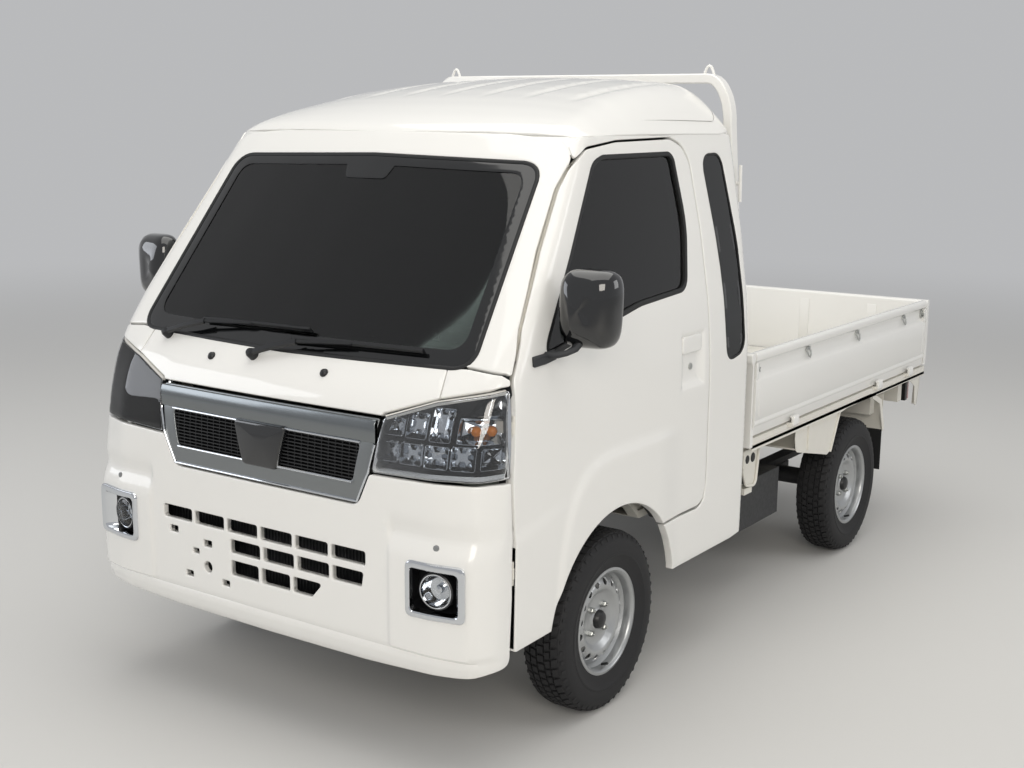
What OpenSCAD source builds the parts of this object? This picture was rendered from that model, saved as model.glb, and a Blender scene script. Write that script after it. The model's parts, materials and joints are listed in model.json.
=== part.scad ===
// Kei truck: a cab-over light truck with a high roof, drop-side bed, guard frame and steel wheels.
// The front faces -Y, the vehicle's left side is +X, and the wheels stand on z = 0.
// Outlines are [u, z] or [x, z], where u is the distance back from the bumper's face.

/* [Overall] */
// Length from the bumper to the tailgate
length = 3395; // [3100:5:4200]
// Width over the doors
width = 1475; // [1300:5:1800]
// Height of the cab roof at the centre line
roof_height = 1832; // [1760:1:2000]
// Distance between the front and rear wheel centres
wheelbase = 1900; // [1700:5:2600]
// Distance from the bumper's face to the front wheel centres
front_overhang = 690; // [660:1:740]

/* [Cab] */
// Distance from the bumper's face to the cab's back wall
cab_length = 1527; // [1500:1:1650]
// Thickness of the cab walls and of the door frames
wall = 34; // [26:1:44]
// Thickness of the doors below the window sill
door_thickness = 66; // [50:1:90]
// Gap between a door and the panels round it
door_gap = 6; // [5:0.5:10]
// Height where the doors end and the roof begins
cant_height = 1658; // [1640:1:1680]
// Thickness of the window glass
glass = 5; // [4:0.5:8]

/* [Bed] */
// Distance from the bumper's face to the front of the bed
bed_start = 1597; // [1580:1:1720]
// Height of the bed floor's top
bed_height = 655; // [620:1:720]
// Height of the gates
gate_height = 285; // [200:1:400]
// Thickness of the gates
gate_thickness = 32; // [24:1:44]
// Diameter of the guard frame's tube
guard_tube = 38; // [30:1:50]

/* [Wheels] */
// Outside diameter of the tyres
tyre_diameter = 537; // [500:1:570]
// Width of the tyres
tyre_width = 145; // [125:1:165]
// Diameter of the rims' bead seat
rim_diameter = 305; // [280:1:330]
// Distance between the left and right tyre centres
track = 1300; // [1200:1:1320]
// Circle of the wheel bolts
bolt_circle = 100; // [90:1:114]
// Radius of the wheel arch openings
arch_radius = 350; // [330:1:365]

/* [Running gear] */
// Distance between the outer faces of the frame rails
frame_width = 700; // [600:5:740]
// Height of the frame rails' section
rail_height = 110; // [80:1:130]
// Radial running clearance on the wheel spindles
running_clearance = 0.05; // [0.02:0.01:0.1]

/* [Hidden] */
$fn = 64;
paint = "#eceae4";
dark = "#26282a";
steel = "#8d9093";
glass_tint = "#5c6a6c80";
half_w = width / 2;
front = -length / 2;
wheel_r = tyre_diameter / 2;
front_wheel_u = front_overhang;
rear_wheel_u = front_overhang + wheelbase;
sides = [1, -1];
rise = roof_height - 1832;          // how far the roof is above its usual height
belt_height = 1185;                  // window sill at the rear of the doors
bonnet_height = 1062;                // foot of the windscreen at the centre line
bonnet_u = 97;
screen_top_u = 505;
screen_top_z = 1600;
screen_angle = atan((screen_top_u - bonnet_u) / (screen_top_z - bonnet_height));
screen_bow = 8000;                   // radius of the windscreen across the cab
bumper_top = 692;
bumper_bottom = 285;
lamp_foot = 806;
door_front_u = 160;
door_rear_u = 1237;
sill_bottom = 337;
sill_top = 505;
kingpin_x = track / 2 - 62;
hinge_x = half_w - 10;
hinge_u = door_front_u + 14;
hinge_heights = [560, 940];
bed_half = half_w - 8;
bed_rear_u = length - 15;
gate_axis_x = bed_half + 7;
gate_axis_z = bed_height - 14;
tailgate_axis_u = bed_rear_u + 8;
gate_hinges = [bed_start + 331, bed_start + 1182, bed_start + 1555];
tailgate_hinges = [-450, 0, 450];
axle_pad = wheel_r + 48;             // top of the rear axle's spring seats
arm_bottom = wheel_r - 63.5;         // underside of the front lower arms
arm_root_x = frame_width / 2 - 60;
knuckle_bottom = wheel_r - 32.5;
exhaust_x = 115 - frame_width / 2;
house_r = arch_radius + 8;
column_foot = [-330, 400, 900];      // [x, u, z] of the steering column's ends
column_top = [-330, 540, 1000];

// ---- outlines of the cab ----

// Side outline [u, z] of the whole cab, clockwise from the foot of the nose.
function side_outline() = [
    [14, bumper_bottom - 20], [2, 420], [0, 560], [4, 720], [14, 900], [42, 985], [bonnet_u - 6, bonnet_height],
    [screen_top_u - 6, screen_top_z], [572, 1652 + rise * 0.5], [680, 1704 + rise], [820, 1757 + rise],
    [980, 1792 + rise], [1160, 1818 + rise], [1320, 1830 + rise], [1440, roof_height],
    [cab_length - 38, 1818 + rise], [cab_length - 8, 1780 + rise],
    [cab_length, 1700], [cab_length, bumper_bottom - 20]];

// Right half of the front outline [x, z], from the foot to the middle of the roof.
function front_half() = [
    [half_w - 8, bumper_bottom - 20], [half_w, 620], [half_w, 940], [half_w - 8, 1090], [half_w - 24, 1230],
    [half_w - 50, 1400], [half_w - 78, 1560], [half_w - 97, 1655], [half_w - 122, 1702 + rise * 0.5],
    [half_w - 172, 1750 + rise], [half_w - 272, 1792 + rise], [half_w - 422, 1820 + rise]];

// Right half of the plan outline [x, u], from the middle of the nose to the back.
function plan_half() = [
    [half_w - 505, 0], [half_w - 400, 9], [half_w - 325, 28], [half_w - 200, 66], [half_w - 105, 100],
    [half_w - 52, 122], [half_w - 22, 146], [half_w - 5, 215], [half_w, 330], [half_w, cab_length + 60]];

function closed_mirror(half, middle) = concat(
    [for (p = half) p], middle, [for (i = [len(half) - 1:-1:0]) [-half[i][0], half[i][1]]]);

// Moves each edge of an outline inwards by d and meets the neighbours again.
function unit(v) = v / norm(v);
function area2(p) = [for (i = 0, s = 0; i <= len(p);
    s = i < len(p) ? s + p[i][0] * p[(i + 1) % len(p)][1] - p[(i + 1) % len(p)][0] * p[i][1] : s,
    i = i + 1) s][len(p)];
function inset(p, d) = let (n = len(p), s = sign(area2(p))) [for (i = [0:n - 1]) let (
    a = unit(p[i] - p[(i + n - 1) % n]),
    b = unit(p[(i + 1) % n] - p[i]),
    na = [-a[1], a[0]] * s,
    nb = [-b[1], b[0]] * s) p[i] + (na + nb) * d / (1 + na * nb)];

// Extrudes an outline of [u, z] points across the truck, from x0 to x1.
module across(x0, x1) {
    translate([x0, front, 0]) rotate([90, 0, 90]) linear_extrude(x1 - x0) children();
}
// Extrudes an outline of [x, z] points back from u0 to u1.
module along(u0, u1) {
    translate([0, front + u1, 0]) rotate([90, 0, 0]) linear_extrude(u1 - u0) children();
}
// Extrudes an outline of [x, u] points from height z0 to z1.
module upright(z0, z1) {
    translate([0, front, z0]) linear_extrude(z1 - z0) children();
}
// A box between two corners given as [x, u, z].
module block(a, b) {
    translate([min(a[0], b[0]), front + min(a[1], b[1]), min(a[2], b[2])])
        cube([abs(b[0] - a[0]), abs(b[1] - a[1]), abs(b[2] - a[2])]);
}
// A round bar between two points given as [x, u, z].
module bar(a, b, r) {
    v = [b[0] - a[0], b[1] - a[1], b[2] - a[2]];
    translate([a[0], front + a[1], a[2]])
        rotate([0, acos(v[2] / norm(v)), atan2(v[1], v[0])]) cylinder(r = r, h = norm(v));
}

// The solid inside the cab's skin, moved inwards by d.
module cab_solid(d) {
    intersection() {
        across(-width, width) polygon(inset(side_outline(), d));
        along(-100, cab_length + 100) polygon(inset(closed_mirror(front_half(), [[0, roof_height + 1]]), d));
        upright(0, 2500) polygon(inset(closed_mirror(plan_half(), []), d));
        translate([0, front + bonnet_u + d / cos(screen_angle), bonnet_height]) rotate([-screen_angle, 0, 0])
            translate([0, screen_bow, -3000]) cylinder(r = screen_bow, h = 6000, $fn = 400);
    }
}
module cab_shell(d) {
    difference() {
        cab_solid(0);
        cab_solid(d);
    }
}

// ---- running gear ----

rail_top = 500;
rail_width = 48;
bed_beams = [bed_start + 95, bed_start + 520, rear_wheel_u - 290, rear_wheel_u + 310, length - 160];
cross_members = [240, 560, 1360, 1860, 2330, 2860, 3290];   // u of each cross member's middle

module chassis_frame() {
    color(dark) {
        for (s = sides) block([s * frame_width / 2, 180, rail_top - rail_height],
            [s * (frame_width / 2 - rail_width), length - 70, rail_top]);
        for (u = cross_members) block([-frame_width / 2 + 1, u - 30, rail_top - rail_height + 12],
            [frame_width / 2 - 1, u + 30, rail_top - 12]);
        // spring hangers at both ends of each leaf spring
        for (s = sides, u = [rear_wheel_u - 480, rear_wheel_u + 480])
            block([s * (frame_width / 2 - 1), u - 20, axle_pad + 12.6],
                [s * (frame_width / 2 + 80), u + 20, rail_top - rail_height + 30]);
    }
}

// Beams across the frame rails that the bed floor lies on.
module bed_crossbeams() {
    color(paint) for (u = bed_beams) block([60 - bed_half, u - 24, rail_top + 0.3],
        [bed_half - 60, u + 24, bed_height - 55.3]);
}

module front_crossmember() {
    beam = frame_width / 2 - 12;
    color(dark) {
        block([-beam, front_wheel_u - 55, arm_bottom + 25], [beam, front_wheel_u + 55, arm_bottom + 85]);
        for (s = sides) {
            block([s * (frame_width / 2 - 8), front_wheel_u - 45, arm_bottom + 57],
                [s * (frame_width / 2 - 40), front_wheel_u + 45, rail_top - rail_height - 0.3]);
            // lower arm and the pin of its ball joint
            block([s * arm_root_x, front_wheel_u - 12, arm_bottom], [s * kingpin_x, front_wheel_u + 12,
                arm_bottom + 26]);
            block([s * arm_root_x, front_wheel_u - 120, arm_bottom], [s * (arm_root_x + 40), front_wheel_u + 120,
                arm_bottom + 26]);
            bar([s * kingpin_x, front_wheel_u, arm_bottom], [s * kingpin_x, front_wheel_u, knuckle_bottom + 22], 9);
        }
    }
}

module front_struts() {
    color(dark) for (s = sides) {
        bar([s * (kingpin_x - 66), front_wheel_u, 400], [s * (kingpin_x - 66), front_wheel_u, 560], 26);
        bar([s * (kingpin_x - 66), front_wheel_u, 559], [s * (kingpin_x - 66), front_wheel_u, 600], 42);
        bar([s * (kingpin_x - 66), front_wheel_u, 599],
            [s * (kingpin_x - 66), front_wheel_u, wheel_r + sqrt(house_r * house_r - 144) - 0.3], 12);
        block([s * (kingpin_x - 92), front_wheel_u - 22, 400], [s * (frame_width / 2 + 0.3), front_wheel_u + 22, 440]);
    }
}

// Carrier of one front wheel: upright, steering arm, brake disc and the spindle that the rim turns on.
module knuckle(s) {
    x = kingpin_x;
    color(steel) {
        difference() {
            block([s * (x - 22), front_wheel_u - 34, knuckle_bottom], [s * (x + 15), front_wheel_u + 34, wheel_r + 103.5]);
            bar([s * x, front_wheel_u, knuckle_bottom - 5], [s * x, front_wheel_u, knuckle_bottom + 26],
                9 + running_clearance);
        }
        block([s * (x - 22), front_wheel_u + 30, wheel_r - 6], [s * (x - 2), front_wheel_u + 130, wheel_r + 18]);
        bar([s * (x + 14), front_wheel_u, wheel_r], [s * (x + 26), front_wheel_u, wheel_r], 96);
        bar([s * (x + 25), front_wheel_u, wheel_r], [s * (track / 2 + 34), front_wheel_u, wheel_r], 15);
    }
}

module rear_axle() {
    color(dark) {
        bar([-(track / 2 - 70), rear_wheel_u, wheel_r], [track / 2 - 70, rear_wheel_u, wheel_r], 34);
        bar([0, rear_wheel_u - 70, wheel_r], [0, rear_wheel_u + 62, wheel_r], 102);
        bar([0, rear_wheel_u - 190, wheel_r + 10], [0, rear_wheel_u - 69, wheel_r + 10], 42);
        for (s = sides) {
            bar([s * (track / 2 - 72), rear_wheel_u, wheel_r], [s * (track / 2 - 46), rear_wheel_u, wheel_r], 108);
            bar([s * (track / 2 - 47), rear_wheel_u, wheel_r], [s * (track / 2 + 34), rear_wheel_u, wheel_r], 15);
            // seat of the leaf spring
            block([s * (frame_width / 2 + 8), rear_wheel_u - 45, wheel_r + 20],
                [s * (frame_width / 2 + 72), rear_wheel_u + 45, axle_pad]);
        }
    }
}

module leaf_springs() {
    low = axle_pad + 0.3;
    color(dark) for (s = sides) {
        x0 = s * (frame_width / 2 + 12);
        x1 = s * (frame_width / 2 + 68);
        block([x0, rear_wheel_u - 500, low], [x1, rear_wheel_u + 500, low + 12]);
        block([x0, rear_wheel_u - 260, low + 11], [x1, rear_wheel_u + 260, low + 24]);
    }
}

module engine_block() {
    color(steel) block([-190, 780, 245], [190, 1300, 480]);
}

module propshaft() {
    color(dark) bar([0, 1300.3, wheel_r + 10], [0, rear_wheel_u - 190.3, wheel_r + 10], 28);
}

module exhaust() {
    x = exhaust_x;
    color(steel) {
        bar([x, 1150, 300], [x, 1900, 300], 21);
        bar([x, 1890, 300], [x, 2300, 300], 68);
        bar([x, 2290, 300], [x, 2345, 330], 21);
        block([x - 10, 1300, 318], [x + 10, 1330, rail_top - rail_height + 12]);
        block([x - 10, 2330, 322], [x + 10, 2350, rail_top - rail_height + 12]);
    }
}

module fuel_tank() {
    color(dark) block([frame_width / 2 + 0.3, 1740, 265], [half_w - 110, 2060, rail_top - 60.3]);
}

// ---- cab ----

module arch(r, s) {
    translate([s * half_w, front + front_wheel_u, wheel_r]) rotate([0, -s * 90, 0]) cylinder(r = r, h = 420);
}

// Floor pan, wheelhouses, seat box and the posts that carry the doors' hinges.
module cab_floor() {
    edge = half_w - 84;
    inner_x = 395;
    // behind the path of the doors' front edges as they open
    swept_u = hinge_u + 82;
    post_u = hinge_u + 104;
    color(paint) difference() {
        union() {
            block([-edge, swept_u, rail_top + 6], [edge, cab_length - wall - 0.3, rail_top + 30]);
            block([54 - edge, hinge_u + 16, rail_top + 6], [edge - 54, swept_u + 1, rail_top + 30]);
            for (s = sides) intersection() {
                translate([s * edge, front + front_wheel_u, wheel_r]) rotate([0, -s * 90, 0])
                    cylinder(r = house_r + 14, h = edge - inner_x + 14);
                block([-half_w, 0, rail_top + 6], [half_w, 1600, 900]);
            }
            block([-edge + 10, 880, rail_top + 20], [edge - 10, cab_length - wall - 60, 770]);
            for (s = sides) {
                block([s * (edge - 48), post_u, rail_top + 7], [s * edge, post_u + 46, bonnet_height - 40]);
                for (z = hinge_heights) hinge_arm(s, z);
            }
        }
        for (s = sides) arch(house_r, s);
        block([-220, 760, rail_top - 60], [220, 1320, rail_top + 30]);
        block([-half_w + 120, 920, rail_top + 10], [half_w - 120, cab_length - wall - 90, 740]);
    }
}

// Arm and pin of a door hinge; the pin stands out above and below the arm.
module hinge_arm(s, z) {
    block([s * (half_w - 120), hinge_u - 7, z - 15], [s * hinge_x, hinge_u + 7, z + 15]);
    block([s * (half_w - 120), hinge_u - 7, z - 15], [s * (half_w - 100), hinge_u + 106, z + 15]);
    bar([s * hinge_x, hinge_u, z - 15], [s * hinge_x, hinge_u, z + 15], 7);
    bar([s * hinge_x, hinge_u, z - 32], [s * hinge_x, hinge_u, z + 32], 5);
}
// Space that a door leaves round a hinge arm, with the bores for its pin.
module hinge_pocket(s, z) {
    bar([s * hinge_x, hinge_u, z - 36], [s * hinge_x, hinge_u, z + 36], 5 + running_clearance);
    bar([s * hinge_x, hinge_u, z - 20], [s * hinge_x, hinge_u, z + 20], 9);
    block([s * (half_w - 140), hinge_u - 40, z - 20], [s * hinge_x, hinge_u + 13, z + 20]);
}

module lamp_outline() {
    for (s = sides) polygon([[s * 392, lamp_foot], [s * 415, 955], [s * 560, 1003], [s * (half_w - 20), 1036],
        [s * width, 1040], [s * width, lamp_foot + 8]]);
}

module front_panel() {
    color(paint) difference() {
        intersection() {
            cab_shell(wall);
            block([-width, -10, bumper_top + 0.3], [width, door_front_u, bonnet_height]);
        }
        along(-50, 400) lamp_outline();
        along(-50, 60) grille_outline(4);
        door_opening(door_gap);
    }
}

module grille_outline(g) {
    polygon(inset([[-343, 716], [343, 716], [382, 800], [404, 946], [-404, 946], [-382, 800]], -g));
}

module grille() {
    color(dark) intersection() {
        cab_shell(wall);
        along(-50, 60) grille_outline(0);
    }
}

module headlights() {
    color("#c9ccd0") intersection() {
        cab_shell(90);
        along(-50, 400) intersection() {
            lamp_outline();
            translate([-width, lamp_foot + 2]) square([2 * width, 400]);
        }
        upright(0, 1100) for (s = sides) polygon([[s * 380, -50], [s * width, -50], [s * width, door_front_u - 9],
            [s * 380, door_front_u - 9]]);
    }
}

module front_bumper() {
    color(paint) difference() {
        intersection() {
            cab_shell(55);
            block([-width, -10, bumper_bottom], [width, door_front_u - 5, bumper_top]);
        }
        // air intake and fog lamp pockets
        block([-400, -20, 372], [372, 40, 585]);
        for (s = sides) block([s * 515, -20, 462], [s * 680, 62, 596]);
    }
}

module screen_opening(g) {
    translate([0, front + bonnet_u, bonnet_height]) rotate([-screen_angle, 0, 0]) rotate([90, 0, 0])
        translate([0, 0, -260]) linear_extrude(420)
            polygon(inset([[-603, 32], [603, 32], [560, 650], [-560, 650]], -g));
}

module windscreen_frame() {
    color(paint) difference() {
        intersection() {
            cab_shell(wall);
            block([-width, -10, bonnet_height + 1], [width, 1180, cant_height]);
        }
        screen_opening(0);
        door_opening(door_gap);
        upright(0, 1700) polygon([[-520, 740], [520, 740], [520, 1400], [-520, 1400]]);
        for (s = sides) block([s * 300, door_front_u + 440, 1000], [s * width, 1400, cant_height + 1]);
    }
}

module windscreen() {
    color(glass_tint) intersection() {
        difference() {
            cab_solid(8);
            cab_solid(8 + glass);
        }
        screen_opening(-0.4);
        block([-width, -10, 1000], [width, 900, 1900]);
    }
}

module roof_panel() {
    color(paint) intersection() {
        cab_shell(wall);
        block([-width, -10, cant_height + 0.3], [width, cab_length + 10, roof_height + 50]);
    }
}

module quarter_opening(g) {
    polygon(inset([[1290, 1596], [1423, 1600], [1470, 1300], [1489, 966], [1359, 944], [1338, 1250]], -g));
}

// Panel behind a door with its pillar, and the sill that runs forward below the door.
module quarter_panel(s) {
    color(paint) difference() {
        union() {
            intersection() {
                cab_shell(wall);
                across(s > 0 ? 540 : -width, s > 0 ? width : -540) polygon([[door_rear_u + 12, cant_height],
                    [cab_length + 10, cant_height], [cab_length + 10, 590], [1490, 480], [1360, 367],
                    [1290, sill_bottom], [door_rear_u + 12, sill_bottom]]);
            }
            block([s * (half_w - 80), front_wheel_u + house_r, sill_bottom], [s * (half_w - 8), door_rear_u + 42,
                sill_top - 8]);
        }
        across(-width, width) quarter_opening(0);
        door_opening(door_gap);
    }
}

module rear_panel() {
    color(paint) difference() {
        intersection() {
            cab_shell(wall);
            block([-539.7, cab_length - 60, rail_top + 40], [539.7, cab_length + 10, cant_height]);
        }
        along(cab_length - 100, cab_length + 20) rear_window_outline(0);
    }
}

module rear_window_outline(g) {
    polygon(inset([[-440, 1130], [440, 1130], [420, 1540], [-420, 1540]], -g));
}

module cab_windows() {
    color(glass_tint) {
        intersection() {
            difference() {
                cab_solid(4);
                cab_solid(4 + glass);
            }
            across(-width, width) quarter_opening(-0.4);
        }
        along(cab_length - 4 - glass, cab_length - 4) rear_window_outline(-0.4);
    }
}

// Outline [u, z] of the doors, from the foot of the hinge edge and clockwise.
function door_outline() = [
    [door_front_u + 8, 343], [door_front_u + 8, 651], [door_front_u - 3, 800], [door_front_u - 3, 1064],
    [210, 1183], [323, 1372], [447, 1525], [520, 1581], [625, 1625], [788, 1643], [1102, 1650],
    [1168, 1627], [1206, 1577], [1222, 1387], [door_rear_u - 6, 1147], [door_rear_u, 900], [door_rear_u, 560],
    [door_rear_u - 14, 520], [door_rear_u - 50, sill_top], [front_wheel_u + 200, sill_top], [front_wheel_u, 343]];

module door_prism(g, s) {
    across(s > 0 ? 606 : -width, s > 0 ? width : -606) polygon(inset(door_outline(), -g));
}
module door_opening(g) {
    for (s = sides) door_prism(g, s);
}
// Outline [u, z] of the door glass.
module door_window(g) {
    polygon(inset([[300, 1100], [647, 1583], [700, 1598], [1080, 1602], [1103, 1590], [1130, 1400],
        [1097, 1205], [818, 1188]], -g));
}

module door(s) {
    color(paint) difference() {
        intersection() {
            cab_solid(0);
            door_prism(0, s);
        }
        difference() {
            cab_solid(wall);
            across(-width, width) polygon([[0, 200], [1500, 200], [1500, belt_height - 20], [600, belt_height - 60],
                [0, belt_height - 130]]);
        }
        cab_solid(door_thickness);
        across(-width, width) door_window(0);
        arch(arch_radius, s);
        for (z = hinge_heights) hinge_pocket(s, z);
    }
}

module door_glass(s) {
    color(glass_tint) intersection() {
        difference() {
            cab_solid(10);
            cab_solid(10 + glass);
        }
        across(s > 0 ? 606 : -width, s > 0 ? width : -606) door_window(-0.4);
    }
}

module door_mirror(s) {
    color("#101113") {
        hull() {
            translate([s * (half_w + 74), front + 378, 1126]) cube([96, 60, 10], center = true);
            translate([s * (half_w + 82), front + 378, 1230]) cube([156, 84, 150], center = true);
            translate([s * (half_w + 78), front + 386, 1326]) cube([130, 56, 10], center = true);
        }
        difference() {
            block([s * (half_w - 20), 300, 1095], [s * (half_w + 60), 350, 1125]);
            cab_solid(-0.3);
        }
        block([s * (half_w + 40), 330, 1095], [s * (half_w + 60), 370, 1125]);
    }
}

module dashboard() {
    color(dark) {
        block([133 - half_w, 210, 860], [half_w - 133, 420, 1010]);
        block([-120, 300, rail_top + 30.3], [120, 430, 861]);
        // steering column
        bar(column_foot, column_top, 26);
    }
}

module steering_wheel() {
    lean = atan((column_top[1] - column_foot[1]) / (column_top[2] - column_foot[2]));
    color(dark) translate([column_top[0], front + column_top[1], column_top[2]]) rotate([-lean, 0, 0])
        translate([0, 0, 0.3]) {
            translate([0, 0, 12]) rotate_extrude() translate([172, 0]) circle(r = 14);
            cylinder(r = 34, h = 26);
            for (a = [30, 150, 270]) rotate([0, 0, a]) translate([20, -14, 4]) cube([145, 28, 12]);
        }
}

module seats() {
    cushion = [[930, 775], [960, 770.3], [1400, 770.3], [1470, 1380], [1385, 1400], [1290, 905], [1000, 885],
        [940, 865]];
    head_rest = [[1392, 1330], [1458, 1330], [1478, 1560], [1400, 1570]];
    color("#3a3c3f") for (s = sides) {
        across(s > 0 ? 90 : -560, s > 0 ? 560 : -90) polygon(cushion);
        across(s > 0 ? 205 : -445, s > 0 ? 445 : -205) polygon(head_rest);
    }
}

// ---- bed ----

module bed_floor() {
    sill = bed_half - 4;
    pad = gate_thickness + 6;
    rear = bed_rear_u - pad;
    color(paint) {
        block([-sill, bed_start, bed_height - 55], [sill, bed_rear_u - 4, bed_height - 10]);
        block([-bed_half + pad, bed_start, bed_height - 11], [bed_half - pad, rear, bed_height]);
        // lugs and pins that the gates turn on
        for (s = sides, u = gate_hinges) gate_lug([s * (sill - 1), u, gate_axis_z], [s * gate_axis_x, u, gate_axis_z]);
        for (x = tailgate_hinges)
            gate_lug([x, bed_rear_u - 5, gate_axis_z], [x, tailgate_axis_u, gate_axis_z]);
    }
}
// Two ears and the pin between them, from a point on the bed's edge out to the hinge axis.
module gate_lug(root, axis) {
    side = abs(root[0] - axis[0]) > 1 ? [0, 1, 0] : [1, 0, 0];
    for (e = sides) {
        block(root + side * e * 26 - [0, 0, 7], axis + side * e * 34 + [0, 0, 7]);
        bar(axis + side * e * 26, axis + side * e * 34, 7);
    }
    bar(axis - side * 30, axis + side * 30, 4);
}
// The gate's half of a hinge: an eye on the pin and the leaf up to the gate's foot.
module gate_eye(axis, up_to) {
    side = abs(axis[0]) > half_w - 40 ? [0, 1, 0] : [1, 0, 0];
    difference() {
        union() {
            bar(axis - side * 24, axis + side * 24, 7);
            block(axis - side * 24 - [0, 0, 2], up_to + side * 24);
        }
        bar(axis - side * 30, axis + side * 30, 4 + running_clearance);
    }
}

module headboard() {
    color(paint) block([-bed_half, bed_start - 32, bed_height - 40], [bed_half, bed_start - 0.3, bed_height + gate_height]);
}

module guard_frame() {
    r = guard_tube / 2;
    u = bed_start - 16;
    post_x = bed_half - 92;
    foot = bed_height + gate_height + 0.3;
    top = roof_height + 6;
    bend = 120;
    color(paint) {
        for (s = sides) {
            bar([s * post_x, u, foot], [s * post_x, u, top - bend], r);
            translate([s * (post_x - bend), front + u, top - bend]) rotate([90, 0, 0])
                rotate([0, 0, s > 0 ? 0 : 90]) rotate_extrude(angle = 90) translate([bend, 0]) circle(r = r);
            // rope hooks on top
            translate([s * 522, front + u, top + 10]) rotate([90, 0, 0]) cylinder(r = 37, h = 12, center = true);
        }
        bar([-(post_x - bend), u, top], [post_x - bend, u, top], r);
        for (z = [1040, 1560]) bar([-post_x, u, z], [post_x, u, z], 11);
        for (x = [-300, -100, 100, 300]) bar([x, u, 1040], [x, u, 1560], 8);
    }
}

module side_gate(s) {
    foot = bed_height - 4;
    color(paint) {
        block([s * (bed_half - gate_thickness), bed_start + 6, foot],
            [s * bed_half, bed_rear_u - gate_thickness - 6, bed_height + gate_height]);
        for (u = gate_hinges) gate_eye([s * gate_axis_x, u, gate_axis_z], [s * (bed_half - 1), u, foot + 12]);
    }
}

module tailgate() {
    foot = bed_height - 4;
    color(paint) {
        block([-bed_half, bed_rear_u - gate_thickness, foot], [bed_half, bed_rear_u, bed_height + gate_height]);
        for (x = tailgate_hinges)
            gate_eye([x, tailgate_axis_u, gate_axis_z], [x, bed_rear_u - 1, foot + 12]);
    }
}

module tail_lamps() {
    color("#a01815") for (s = sides)
        block([s * (bed_half - 250), length - 84, 490], [s * (bed_half - 60), length - 32, bed_height - 55.3]);
}

module mudguards() {
    color(dark) for (s = sides) {
        block([s * 480, rear_wheel_u + 360, 255], [s * 700, rear_wheel_u + 366, bed_height - 55.3]);
    }
}

// ---- wheels ----

// Places a wheel's parts, made along +X with the outer face at +X, at one corner of the truck.
module at_wheel(s, u) {
    translate([s * track / 2, front + u, wheel_r]) rotate([0, s > 0 ? 90 : -90, 0]) children();
}
module tyre(s, u) {
    r0 = rim_diameter / 2 + 0.2;
    w = tyre_width / 2;
    color("#1b1c1d") at_wheel(s, u) rotate_extrude($fn = 96) polygon([[r0, -w + 20], [r0 + 6, -w + 16],
        [r0 + 40, -w + 2], [r0 + 62, -w], [wheel_r - 22, -w + 6], [wheel_r - 6, -w + 18], [wheel_r, -w + 32],
        [wheel_r, w - 32], [wheel_r - 6, w - 18], [wheel_r - 22, w - 6], [r0 + 62, w], [r0 + 40, w - 2],
        [r0 + 6, w - 16], [r0, w - 20]]);
}
module rim(s, u) {
    r = rim_diameter / 2;
    w = tyre_width / 2 - 20;
    color(steel) at_wheel(s, u) difference() {
        union() {
            rotate_extrude($fn = 96) polygon([[r - 6, -w], [r, -w], [r, w], [r + 8, w + 6], [r + 8, w + 10],
                [r - 6, w + 6]]);
            rotate_extrude($fn = 96) polygon([[0, 18], [78, 18], [96, 34], [r - 30, 22], [r - 5, 2], [r - 5, -4],
                [r - 32, 16], [96, 28], [80, 10], [44, 10], [0, 10]]);
            translate([0, 0, 8]) cylinder(r = 32, h = 44);
        }
        translate([0, 0, -20]) cylinder(r = 15 + running_clearance, h = 60);
        for (i = [0:3]) rotate([0, 0, 45 + i * 90]) translate([bolt_circle / 2, 0, 0]) cylinder(r = 6.25, h = 40);
        for (i = [0:15]) rotate([0, 0, i * 22.5]) translate([r - 42, 0, 0]) cylinder(r = 11, h = 40);
    }
}

chassis_frame();
front_crossmember();
front_struts();
knuckle(1);  // knuckle_left
knuckle(-1);  // knuckle_right
rear_axle();
leaf_springs();
bed_crossbeams();
engine_block();
propshaft();
exhaust();
fuel_tank();
cab_floor();
front_panel();
front_bumper();
windscreen_frame();
roof_panel();
quarter_panel(1);  // quarter_panel_left
quarter_panel(-1);  // quarter_panel_right
rear_panel();
grille();
headlights();
windscreen();
cab_windows();
door(1);  // door_left
door(-1);  // door_right
door_glass(1);  // door_glass_left
door_glass(-1);  // door_glass_right
door_mirror(1);  // mirror_left
door_mirror(-1);  // mirror_right
dashboard();
steering_wheel();
seats();
bed_floor();
headboard();
guard_frame();
side_gate(1);  // gate_left
side_gate(-1);  // gate_right
tailgate();
tail_lamps();
mudguards();
tyre(1, front_wheel_u);  // tyre_front_left
tyre(-1, front_wheel_u);  // tyre_front_right
tyre(1, rear_wheel_u);  // tyre_rear_left
tyre(-1, rear_wheel_u);  // tyre_rear_right
rim(1, front_wheel_u);  // rim_front_left
rim(-1, front_wheel_u);  // rim_front_right
rim(1, rear_wheel_u);  // rim_rear_left
rim(-1, rear_wheel_u);  // rim_rear_right
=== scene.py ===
import json
import math

import bmesh
import bpy
import numpy as np
from mathutils import Matrix, Vector
from mathutils.bvhtree import BVHTree
from mathutils.geometry import delaunay_2d_cdt

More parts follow.
